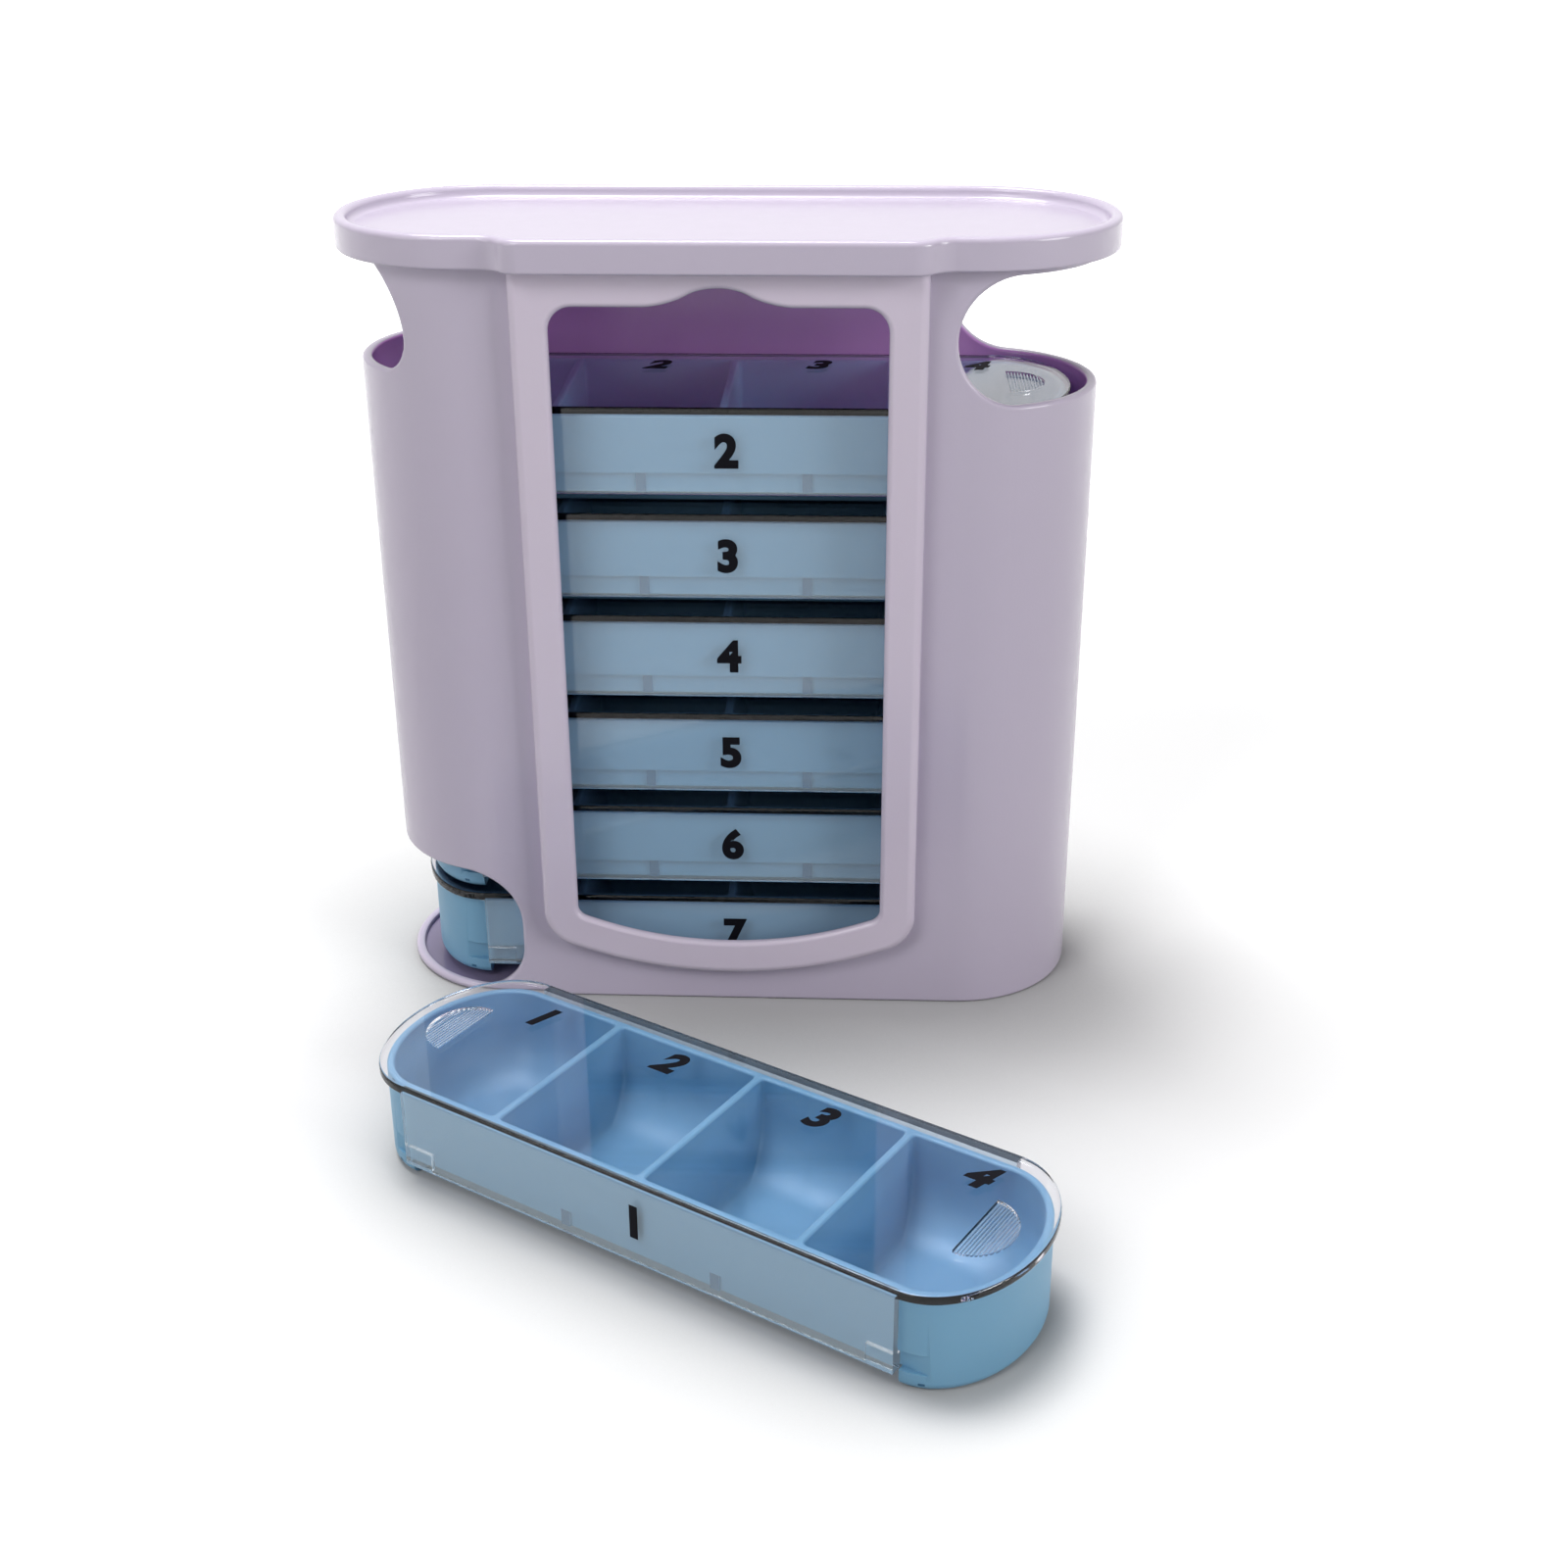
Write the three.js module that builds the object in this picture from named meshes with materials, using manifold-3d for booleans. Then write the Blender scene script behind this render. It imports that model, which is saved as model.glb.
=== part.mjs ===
// A weekly pill organizer: a tower that holds a stack of day trays under sliding lids,
// and one more day tray that stands in front of it. Millimetres, +Z up, the front towards -Y.
// The origin is the middle of the tower's underside.
import * as THREE from "three";
import { mergeVertices } from "three/addons/utils/BufferGeometryUtils.js";
import Module from "manifold-3d";

const wasm = await Module();
wasm.setup();

// Counts and facets
const DAY_COUNT = 7;
const COMPARTMENT_COUNT = 4;
const TRAY_END_STEPS = 12;
const TOWER_END_STEPS = 18;
const SCOOP_STEPS = 4;
const GRIP_STEPS = 8;
const CUT_STEPS = 10;
const BULGE_STEPS = 4;
const CORNER_STEPS = 4;
const SAG_STEPS = 10;
const NOTCH_STEPS = 12;

// Overrun of every cut past the face that it opens
const OVERRUN = 4;
// Depth by which the joined pieces of one solid run into each other
const JOIN_DEPTH = 0.4;

// Day tray
const COMPARTMENT_PITCH = 28.3;
const DIVIDER_THICKNESS = 1.4;
const TRAY_WALL = 1.3;
const TRAY_DEPTH = 34.4;
const TRAY_END_ROOM = 0.5;
const TRAY_END_REACH = 12.4;
const TRAY_HEIGHT = 16.5;
const TRAY_FLOOR = 1.5;
const TRAY_EDGE_ROUND = 1.6;
const SCOOP_RADIUS = 9;
const FOOT_HEIGHT = 3.1;
const FOOT_INSET = 3.9;
const GROOVE_HEIGHT = 3.5;
const GROOVE_DEPTH = 1.1;
const DETENT_WIDTH = 1.7;
const DETENT_PROUD = 0.4;

// Sliding lid
const LID_GAP = 0.3;
const LID_THICKNESS = 1.4;
const LID_OVERHANG = 0.8;
const LID_EDGE_ROUND = 0.4;
const FLAP_THICKNESS = 1.3;
const HOOK_LENGTH = 5;
const HOOK_HEIGHT = 3;
const HOOK_REACH = 0.7;
const GRIP_DEPTH = 0.6;
const GRIP_REACH = 6.4;
const GRIP_WIDTH = 14;
const GRIP_EDGE = 4.5;

// Play between stacked trays, and between the lowest tray and its rails
const STACK_GAP = 0.3;
const SEAT_GAP = 0.3;

// Tower housing
const TOWER_WALL = 1.8;
const SIDE_CLEARANCE = 1.2;
const END_CLEARANCE = 2.5;
const TOWER_FLOOR = 0.8;
const TOWER_EDGE_ROUND = 1.5;
const RAIL_HEIGHT = 0.5;
const RAIL_WIDTH = 3;
const RAIL_LENGTH = 80;
const RAIL_SPACING = 24;
const TOP_SLOT_HEADROOM = 3.9;
const TOP_STRIP_HEIGHT = 0.9;

// Raised frame around the front window
const FRAME_PROUD = 3;
const FRAME_WALL = 1.5;
const FRAME_WIDTH = 68;
const FRAME_BOTTOM = 6.9;
const FRAME_SAG = 7.1;
const FRAME_CORNER = 5;
const FRAME_ROUND = 1.2;
const FRAME_SIDE_BAND = 6.4;
const FRAME_TOP_BAND = 5.5;
const FRAME_BOTTOM_BAND = 6.7;
const WINDOW_SAG = 5.3;
const WINDOW_TOP_CORNER = 4;
const WINDOW_BOTTOM_CORNER = 1.5;
const NOTCH_WIDTH = 20.4;
const NOTCH_HEIGHT = 3.2;

// Loading opening at the top right, through the front, the end and the back
const LOADING_SILL = 0.8;
const LOADING_REACH = 24.8;

// Finger opening at the top left
const FINGER_SILL = 5.1;
const FINGER_REACH = 10.9;
const FINGER_CORNER = 4.9;
const FINGER_STRAIGHT = 0.9;
const FINGER_SHOULDER = 5.5;

// Way out for the lowest tray at the bottom left, over a low lip
const EXIT_SILL = 3;
const EXIT_HEADROOM = 5.9;
const EXIT_REACH = 24.9;
const EXIT_SLOPE_START = 15.5;
const EXIT_SLOPE_END = 12.3;

// Top cap
const CAP_OVERHANG = 2.8;
const CAP_HEIGHT = 5.5;
const CAP_RECESS = 2;
const CAP_RIM = 2.2;
const CAP_PLATE = 1.6;
const CAP_GAP = 0.3;
const CAP_FILLET = 1.2;
const CAP_EDGE_ROUND = 0.6;
const SPIGOT_THICKNESS = 1.4;
const SPIGOT_DROP = 1;
const TONGUE_DROP = 3.2;
const TONGUE_LENGTH = 74;
const BULGE_REACH = 3.6;
const BULGE_SLOPE = 2.7;
const BULGE_MARGIN = 2;

// Where the loose day tray stands, and how far it is turned
const LOOSE_X = 0.1;
const LOOSE_Y = -87.8;
const LOOSE_TURN_DEGREES = -30.9;

// Sizes that follow
const trayHalfDepth = TRAY_DEPTH / 2;
const trayHalfLength = (COMPARTMENT_COUNT * COMPARTMENT_PITCH) / 2 + TRAY_END_ROOM + TRAY_WALL;
const trayFlatHalf = trayHalfLength - TRAY_END_REACH;
const grooveWall = trayHalfDepth - GROOVE_DEPTH;
const grooveTop = FOOT_HEIGHT + GROOVE_HEIGHT;
const lidBottom = TRAY_HEIGHT + LID_GAP;
const lidTop = lidBottom + LID_THICKNESS;
const flapInner = trayHalfDepth + LID_GAP;
const lidHalfDepth = flapInner + FLAP_THICKNESS;
const lidEndReach = TRAY_END_REACH + LID_OVERHANG;
const lidHalfLength = trayFlatHalf + lidEndReach;
const trayPitch = lidTop + STACK_GAP;
const railTop = TOWER_FLOOR + RAIL_HEIGHT;
const stackBase = railTop + SEAT_GAP;
const slotBase = stackBase + (DAY_COUNT - 1) * trayPitch;
const innerHalfDepth = lidHalfDepth + SIDE_CLEARANCE;
const towerHalfDepth = innerHalfDepth + TOWER_WALL;
const towerHalfLength = lidHalfLength + END_CLEARANCE + TOWER_WALL;
const towerFlatHalf = towerHalfLength - towerHalfDepth;
const openingTop = slotBase + lidTop + TOP_SLOT_HEADROOM;
const towerTop = openingTop + TOP_STRIP_HEIGHT;
const frameHalf = FRAME_WIDTH / 2;
const frameFace = towerHalfDepth + FRAME_PROUD;
const capHalfDepth = towerHalfDepth + CAP_OVERHANG;
const capBottom = towerTop + CAP_GAP;
const capTop = capBottom + CAP_HEIGHT;
const capRecessFloor = capTop - CAP_RECESS;
const bulgeHalf = frameHalf + BULGE_MARGIN;

// Quarter turns, for arcs
const QUARTER = Math.PI / 2;
const HALF = Math.PI;

// Share of a rounded edge's radius, first up and then in, at each ring that rounds it
const edgeShares = [
  [0, 1],
  [0.3, 0.3],
  [1, 0],
];

// An outline with straight long sides and rounded ends, seen from above, anticlockwise.
function endedOutline(flatHalf, halfDepth, endReach, steps) {
  const points = [];
  for (const side of [1, -1]) {
    for (let i = 0; i <= steps; i++) {
      const turn = HALF * (i / steps) - QUARTER;
      points.push([
        side * (flatHalf + endReach * Math.cos(turn)),
        side * halfDepth * Math.sin(turn),
      ]);
    }
  }
  return points;
}

// Points along an arc of an ellipse, from one turn to another, both ends included.
function arcPoints([x, y], [radiusX, radiusY], [fromTurn, toTurn], steps) {
  return Array.from({ length: steps + 1 }, (_, i) => {
    const turn = fromTurn + ((toTurn - fromTurn) * i) / steps;
    return [x + radiusX * Math.cos(turn), y + radiusY * Math.sin(turn)];
  });
}

// An outline at a height, as one ring of a loft.
const ring = (points, height) => ({ points, height });

// A closed skin through rings that have the same number of points, with flat ends.
function loft(rings) {
  const count = rings[0].points.length;
  const corners = rings.flatMap(({ points, height }) => points.flatMap(([x, y]) => [x, y, height]));
  const faces = [];
  const endFaces = ({ points }) =>
    THREE.ShapeUtils.triangulateShape(points.map(([x, y]) => new THREE.Vector2(x, y)), []);
  for (const [a, b, c] of endFaces(rings[0])) {
    faces.push(c, b, a);
  }
  for (let level = 0; level + 1 < rings.length; level++) {
    for (let i = 0; i < count; i++) {
      const low = level * count + i;
      const lowNext = level * count + ((i + 1) % count);
      faces.push(low, lowNext, lowNext + count);
      faces.push(low, lowNext + count, low + count);
    }
  }
  const last = (rings.length - 1) * count;
  for (const [a, b, c] of endFaces(rings.at(-1))) {
    faces.push(last + a, last + b, last + c);
  }
  const geometry = new THREE.BufferGeometry();
  geometry.setAttribute("position", new THREE.Float32BufferAttribute(corners, 3));
  geometry.setIndex(faces);
  return geometry;
}

// A straight block of an outline between two heights.
const prism = (points, bottom, top) => loft([ring(points, bottom), ring(points, top)]);

// A geometry as a solid that can be joined and cut.
function solidOf(geometry) {
  const bare = geometry.clone();
  bare.deleteAttribute("normal");
  bare.deleteAttribute("uv");
  const merged = mergeVertices(bare);
  return new wasm.Manifold(
    new wasm.Mesh({
      numProp: 3,
      vertProperties: merged.getAttribute("position").array,
      triVerts: new Uint32Array(merged.getIndex().array),
    }),
  );
}

// A solid whose outline stands upright and whose height points to the front.
const upright = (geometry) => solidOf(geometry.rotateX(QUARTER));

// A solid whose outline stands upright and whose height points to the right.
const crosswise = (geometry) => solidOf(geometry.rotateX(QUARTER).rotateZ(QUARTER));

// A box between two corners.
function boxBetween(low, high) {
  const size = high.map((value, axis) => value - low[axis]);
  const middle = high.map((value, axis) => (value + low[axis]) / 2);
  return solidOf(new THREE.BoxGeometry(...size).translate(...middle));
}

// A box on the back or the front side, given by its distances from the middle plane.
function sideBox(side, [x0, x1], [inner, outer], [z0, z1]) {
  const ys = [side * inner, side * outer];
  return boxBetween([x0, Math.min(...ys), z0], [x1, Math.max(...ys), z1]);
}

// A finished solid as a named mesh of its own material.
function meshOf(name, solid, material) {
  const { vertProperties, triVerts } = solid.getMesh();
  const geometry = new THREE.BufferGeometry();
  geometry.setAttribute("position", new THREE.BufferAttribute(vertProperties, 3));
  geometry.setIndex(new THREE.BufferAttribute(triVerts, 1));
  geometry.computeVertexNormals();
  const mesh = new THREE.Mesh(geometry, material);
  mesh.name = name;
  return mesh;
}

// Upright section of a compartment: a flat floor, and walls that curve up from it or stand square.
function scoopSection(low, high, roundLow, roundHigh) {
  const above = TRAY_HEIGHT + OVERRUN;
  const bend = TRAY_FLOOR + SCOOP_RADIUS;
  const radii = [SCOOP_RADIUS, SCOOP_RADIUS];
  const points = [[high, above], [low, above]];
  if (roundLow) {
    const turns = [HALF, HALF + QUARTER];
    points.push(...arcPoints([low + SCOOP_RADIUS, bend], radii, turns, SCOOP_STEPS));
  } else {
    points.push([low, TRAY_FLOOR]);
  }
  if (roundHigh) {
    points.push(...arcPoints([high - SCOOP_RADIUS, bend], radii, [-QUARTER, 0], SCOOP_STEPS));
  } else {
    points.push([high, TRAY_FLOOR]);
  }
  return points;
}

// The space inside one compartment, counted from the left.
function compartmentSpace(index) {
  const halfDepth = trayHalfDepth - TRAY_WALL;
  const endReach = TRAY_END_REACH - TRAY_WALL;
  const centre = (index - (COMPARTMENT_COUNT - 1) / 2) * COMPARTMENT_PITCH;
  const halfWidth = (COMPARTMENT_PITCH - DIVIDER_THICKNESS) / 2;
  const isFirst = index === 0;
  const isLast = index === COMPARTMENT_COUNT - 1;
  const low = isFirst ? -trayFlatHalf - endReach : centre - halfWidth;
  const high = isLast ? trayFlatHalf + endReach : centre + halfWidth;
  const across = scoopSection(-halfDepth, halfDepth, true, true);
  let space = crosswise(prism(across, low, high));
  if (isFirst || isLast) {
    const outline = endedOutline(trayFlatHalf, halfDepth, endReach, TRAY_END_STEPS);
    const along = scoopSection(low, high, isFirst, isLast);
    space = space.intersect(solidOf(prism(outline, TRAY_FLOOR, TRAY_HEIGHT + OVERRUN)));
    space = space.intersect(upright(prism(along, -halfDepth - OVERRUN, halfDepth + OVERRUN)));
  }
  return space;
}

// A block whose lower edge is rounded, from the ground up to a height.
function roundedBlock(outlineInset, edgeRound, height) {
  const rings = edgeShares.map(([up, inwards]) =>
    ring(outlineInset(inwards * edgeRound), up * edgeRound),
  );
  return solidOf(loft([...rings, ring(outlineInset(0), height)]));
}

// A day tray: scooped compartments, an undercut foot and a groove along each straight side,
// with two small ribs in each groove that the lid clicks over.
function traySolid() {
  const outlineInset = (inset) =>
    endedOutline(trayFlatHalf, trayHalfDepth - inset, TRAY_END_REACH - inset, TRAY_END_STEPS);
  let tray = roundedBlock(outlineInset, TRAY_EDGE_ROUND, TRAY_HEIGHT);
  for (let i = 0; i < COMPARTMENT_COUNT; i++) {
    tray = tray.subtract(compartmentSpace(i));
  }
  const footWall = trayHalfDepth - FOOT_INSET;
  const straight = [-trayFlatHalf, trayFlatHalf];
  const pastEnds = [-trayHalfLength - OVERRUN, trayHalfLength + OVERRUN];
  const outside = trayHalfDepth + OVERRUN;
  const grooveRise = [FOOT_HEIGHT, grooveTop];
  for (const side of [1, -1]) {
    tray = tray.subtract(sideBox(side, straight, [footWall, outside], [-OVERRUN, FOOT_HEIGHT]));
    tray = tray.subtract(sideBox(side, pastEnds, [grooveWall, outside], grooveRise));
    for (const end of [1, -1]) {
      const middle = (end * COMPARTMENT_PITCH) / 2;
      const width = [middle - DETENT_WIDTH / 2, middle + DETENT_WIDTH / 2];
      const depth = [grooveWall - JOIN_DEPTH, grooveWall + DETENT_PROUD];
      tray = tray.add(sideBox(side, width, depth, grooveRise));
    }
  }
  return tray;
}

// The sunk thumb grip near one end of a lid, with its flat side towards the middle.
function gripSpace(end) {
  const flatX = lidHalfLength - GRIP_EDGE - GRIP_REACH;
  const radii = [GRIP_REACH, GRIP_WIDTH / 2];
  const points = arcPoints([flatX, 0], radii, [-QUARTER, QUARTER], GRIP_STEPS);
  const geometry = prism(points, lidTop - GRIP_DEPTH, lidTop + OVERRUN);
  return solidOf(end > 0 ? geometry : geometry.rotateZ(HALF));
}

// A sliding lid: a plate over the tray, a flap down each straight side, and hooks in the grooves.
function lidSolid() {
  const outlineInset = (inset) =>
    endedOutline(trayFlatHalf, lidHalfDepth - inset, lidEndReach - inset, TRAY_END_STEPS);
  const plate = [
    ring(outlineInset(0), lidBottom),
    ring(outlineInset(0), lidTop - LID_EDGE_ROUND),
    ring(outlineInset(LID_EDGE_ROUND), lidTop),
  ];
  let lid = solidOf(loft(plate));
  const straight = [-trayFlatHalf, trayFlatHalf];
  const flapRise = [FOOT_HEIGHT, lidBottom + JOIN_DEPTH];
  const hookDepth = [flapInner - HOOK_REACH, flapInner + JOIN_DEPTH];
  const hookRise = [FOOT_HEIGHT, FOOT_HEIGHT + HOOK_HEIGHT];
  for (const side of [1, -1]) {
    lid = lid.add(sideBox(side, straight, [flapInner, lidHalfDepth], flapRise));
    lid = lid.add(sideBox(side, [trayFlatHalf - HOOK_LENGTH, trayFlatHalf], hookDepth, hookRise));
    lid = lid.add(sideBox(side, [-trayFlatHalf, HOOK_LENGTH - trayFlatHalf], hookDepth, hookRise));
    lid = lid.subtract(gripSpace(side));
  }
  return lid;
}

// Upright outline with a sagging bottom edge between two rounded corners, anticlockwise,
// closed at the top by the points that are handed in.
function saggingOutline(halfWidth, bottom, sag, corner, topPoints) {
  const innerHalf = halfWidth - corner;
  const edge = (x) => bottom + sag * (x / halfWidth) ** 2;
  const cornerCentre = bottom + sag + corner;
  const radii = [corner, cornerCentre - edge(innerHalf)];
  const right = arcPoints([innerHalf, cornerCentre], radii, [-QUARTER, 0], CORNER_STEPS);
  const left = arcPoints([-innerHalf, cornerCentre], radii, [HALF, HALF + QUARTER], CORNER_STEPS);
  const middle = Array.from({ length: SAG_STEPS - 1 }, (_, i) => {
    const x = innerHalf * ((2 * (i + 1)) / SAG_STEPS - 1);
    return [x, edge(x)];
  });
  return [...middle, ...right, ...topPoints, ...left];
}

// The raised frame's outline, drawn in by an inset, up to a height.
function frameOutline(inset, top) {
  const half = frameHalf - inset;
  const topPoints = [[half, top], [-half, top]];
  return saggingOutline(half, FRAME_BOTTOM + inset, FRAME_SAG, FRAME_CORNER - inset, topPoints);
}

// The window's outline: rounded top corners and a finger notch in the middle of its top edge.
function windowOutline() {
  const half = frameHalf - FRAME_SIDE_BAND;
  const top = towerTop - FRAME_TOP_BAND;
  const radii = [WINDOW_TOP_CORNER, WINDOW_TOP_CORNER];
  const cornerX = half - WINDOW_TOP_CORNER;
  const cornerZ = top - WINDOW_TOP_CORNER;
  const right = arcPoints([cornerX, cornerZ], radii, [0, QUARTER], CORNER_STEPS);
  const left = arcPoints([-cornerX, cornerZ], radii, [QUARTER, HALF], CORNER_STEPS);
  const notch = Array.from({ length: NOTCH_STEPS + 1 }, (_, i) => {
    const share = 1 - (2 * i) / NOTCH_STEPS;
    return [(share * NOTCH_WIDTH) / 2, top + (NOTCH_HEIGHT * (1 + Math.cos(HALF * share))) / 2];
  });
  const bottom = FRAME_BOTTOM + FRAME_BOTTOM_BAND;
  const topPoints = [...right, ...notch, ...left];
  return saggingOutline(half, bottom, WINDOW_SAG, WINDOW_BOTTOM_CORNER, topPoints);
}

// Upright outline of the loading opening: a half circle that runs out through the right end.
function loadingOutline() {
  const bottom = slotBase + LOADING_SILL;
  const radius = (openingTop - bottom) / 2;
  const centre = [towerHalfLength - LOADING_REACH + radius, openingTop - radius];
  const arc = arcPoints(centre, [radius, radius], [QUARTER, HALF + QUARTER], CUT_STEPS);
  const beyond = towerHalfLength + OVERRUN;
  return [[beyond, openingTop], ...arc, [beyond, bottom]];
}

// Upright outline of the finger opening: a hollow in the left end, up to the cap.
function fingerOutline() {
  const deepest = FINGER_REACH - towerHalfLength;
  const bottom = slotBase + FINGER_SILL;
  const waist = bottom + FINGER_CORNER;
  const shoulderBase = waist + FINGER_STRAIGHT;
  const rise = towerTop - shoulderBase;
  const radius = (rise ** 2 + FINGER_SHOULDER ** 2) / (2 * FINGER_SHOULDER);
  const lowerCentre = [deepest - FINGER_CORNER, waist];
  const upperCentre = [deepest - radius, shoulderBase];
  const lower = arcPoints(lowerCentre, [FINGER_CORNER, FINGER_CORNER], [-QUARTER, 0], CUT_STEPS);
  const upper = arcPoints(upperCentre, [radius, radius], [0, Math.asin(rise / radius)], CUT_STEPS);
  const beyond = -towerHalfLength - OVERRUN;
  const above = towerTop + OVERRUN;
  return [[beyond, bottom], ...lower, ...upper, [deepest - FINGER_SHOULDER, above], [beyond, above]];
}

// Upright outline of the way out: most of a circle, open to the left above a low lip.
function exitOutline() {
  const bottom = railTop + EXIT_SILL;
  const top = stackBase + lidTop + EXIT_HEADROOM;
  const radius = (top - bottom) / 2;
  const centre = [EXIT_REACH - towerHalfLength - radius, bottom + radius];
  const circle = arcPoints(centre, [radius, radius], [-QUARTER, QUARTER], 2 * CUT_STEPS);
  const slope = Array.from({ length: CORNER_STEPS + 1 }, (_, i) => {
    const share = i / CORNER_STEPS;
    const x = EXIT_SLOPE_END + (EXIT_SLOPE_START - EXIT_SLOPE_END) * share - towerHalfLength;
    return [x, railTop + (EXIT_SILL * (1 - Math.cos(HALF * share))) / 2];
  });
  const beyond = -towerHalfLength - OVERRUN;
  return [[beyond, railTop], ...slope, ...circle, [beyond, top]];
}

// The tower: a hollow column with a floor and rails, a raised frame with a window in front,
// and three openings in its ends.
function housingSolid() {
  const outlineInset = (inset) =>
    endedOutline(towerFlatHalf, towerHalfDepth - inset, towerHalfDepth - inset, TOWER_END_STEPS);
  const frame = [
    ring(frameOutline(0, towerTop), innerHalfDepth),
    ring(frameOutline(0, towerTop), frameFace - FRAME_ROUND),
    ...edgeShares
      .slice(0, -1)
      .reverse()
      .map(([up, inwards]) =>
        ring(frameOutline(inwards * FRAME_ROUND, towerTop), frameFace - up * FRAME_ROUND),
      ),
  ];
  let housing = roundedBlock(outlineInset, TOWER_EDGE_ROUND, towerTop);
  housing = housing.add(upright(loft(frame)));
  const inside = prism(outlineInset(TOWER_WALL), TOWER_FLOOR, towerTop + OVERRUN);
  const frameInside = prism(frameOutline(FRAME_WALL, towerTop + OVERRUN), 0, frameFace - FRAME_WALL);
  housing = housing.subtract(solidOf(inside));
  housing = housing.subtract(upright(frameInside));
  housing = housing.subtract(upright(prism(windowOutline(), 0, frameFace + OVERRUN)));
  const through = towerHalfDepth + OVERRUN;
  for (const outline of [loadingOutline(), fingerOutline(), exitOutline()]) {
    housing = housing.subtract(upright(prism(outline, -through, through)));
  }
  const railRun = [-RAIL_LENGTH / 2, RAIL_LENGTH / 2];
  const railDepth = [(RAIL_SPACING - RAIL_WIDTH) / 2, (RAIL_SPACING + RAIL_WIDTH) / 2];
  for (const side of [1, -1]) {
    housing = housing.add(sideBox(side, railRun, railDepth, [TOWER_FLOOR - JOIN_DEPTH, railTop]));
  }
  return housing;
}

// The cap's outline: the tower's outline widened, with a bulge over the window frame.
function capOutline(inset) {
  const halfDepth = capHalfDepth - inset;
  const points = endedOutline(towerFlatHalf, halfDepth, halfDepth, TOWER_END_STEPS);
  for (const side of [-1, 1]) {
    for (let i = 0; i <= BULGE_STEPS; i++) {
      const share = side < 0 ? i / BULGE_STEPS : 1 - i / BULGE_STEPS;
      const reach = (BULGE_REACH * (1 - Math.cos(HALF * share))) / 2;
      points.push([side * (bulgeHalf - inset - BULGE_SLOPE * share), -halfDepth - reach]);
    }
  }
  return points;
}

// The top cap: a shallow dish that overhangs the tower, with a spigot and two tongues inside it.
function capSolid() {
  const capRings = [
    ring(capOutline(0), capBottom),
    ring(capOutline(0), capTop - CAP_EDGE_ROUND),
    ring(capOutline(CAP_EDGE_ROUND), capTop),
  ];
  const dishRings = edgeShares.map(([up, inwards]) =>
    ring(capOutline(CAP_RIM + inwards * CAP_FILLET), capRecessFloor + up * CAP_FILLET),
  );
  dishRings.push(ring(capOutline(CAP_RIM), capTop + OVERRUN));
  const ended = (halfDepth) =>
    endedOutline(towerFlatHalf, halfDepth, halfDepth, TOWER_END_STEPS);
  const spigotOuter = innerHalfDepth - CAP_GAP;
  const spigotInner = spigotOuter - SPIGOT_THICKNESS;
  const spigotBottom = capBottom - SPIGOT_DROP;
  const plateBottom = capRecessFloor - CAP_PLATE;
  let cap = solidOf(loft(capRings)).subtract(solidOf(loft(dishRings)));
  cap = cap.add(solidOf(prism(ended(spigotOuter), spigotBottom, capBottom + JOIN_DEPTH)));
  cap = cap.subtract(solidOf(prism(ended(spigotInner), spigotBottom - OVERRUN, plateBottom)));
  const tongueRun = [-TONGUE_LENGTH / 2, TONGUE_LENGTH / 2];
  const tongueRise = [capBottom - TONGUE_DROP, capBottom + JOIN_DEPTH];
  for (const side of [1, -1]) {
    cap = cap.add(sideBox(side, tongueRun, [spigotInner, spigotOuter], tongueRise));
  }
  return cap;
}

// Finishes
const shellPlastic = () =>
  new THREE.MeshStandardMaterial({ color: 0xd9cbe2, roughness: 0.28, metalness: 0 });
const trayPlastic = () =>
  new THREE.MeshStandardMaterial({ color: 0xa9cfe6, roughness: 0.32, metalness: 0 });
const clearPlastic = () =>
  new THREE.MeshStandardMaterial({
    color: 0xf2f7fa,
    roughness: 0.08,
    metalness: 0,
    transparent: true,
    opacity: 0.3,
  });

// The whole organizer
const organizer = new THREE.Group();
organizer.add(meshOf("housing", housingSolid(), shellPlastic()));
organizer.add(meshOf("top_cap", capSolid(), shellPlastic()));

const tray = traySolid();
const lid = lidSolid();
for (let day = 1; day <= DAY_COUNT; day++) {
  const place = new THREE.Group();
  if (day === 1) {
    place.position.set(LOOSE_X, LOOSE_Y, 0);
    place.rotation.z = THREE.MathUtils.degToRad(LOOSE_TURN_DEGREES);
  } else {
    place.position.set(0, 0, stackBase + (DAY_COUNT - day) * trayPitch);
  }
  place.add(meshOf("tray_" + day, tray, trayPlastic()));
  place.add(meshOf("lid_" + day, lid, clearPlastic()));
  organizer.add(place);
}

export default organizer;
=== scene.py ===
import math

import bmesh
import bpy
from bpy.props import FloatProperty, FloatVectorProperty, PointerProperty
from bpy.types import Operator, Panel, PropertyGroup
from mathutils import Matrix, Vector


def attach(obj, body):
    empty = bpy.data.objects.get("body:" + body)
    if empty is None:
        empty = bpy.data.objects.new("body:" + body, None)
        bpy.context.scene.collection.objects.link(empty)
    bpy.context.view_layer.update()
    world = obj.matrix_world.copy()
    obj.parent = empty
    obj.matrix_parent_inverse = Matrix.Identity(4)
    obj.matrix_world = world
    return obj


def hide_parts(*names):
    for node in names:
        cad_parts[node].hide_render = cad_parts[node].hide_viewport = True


bl_info = {
    "name": "Weekly Pill Organizer",
    "version": (1, 0, 0),
    "blender": (4, 5, 0),
    "location": "View3D > Sidebar > Organizer",
    "description": "Models a tower of day trays with sliding lids, a cap and printed numbers",
    "category": "Add Mesh",
}

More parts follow.
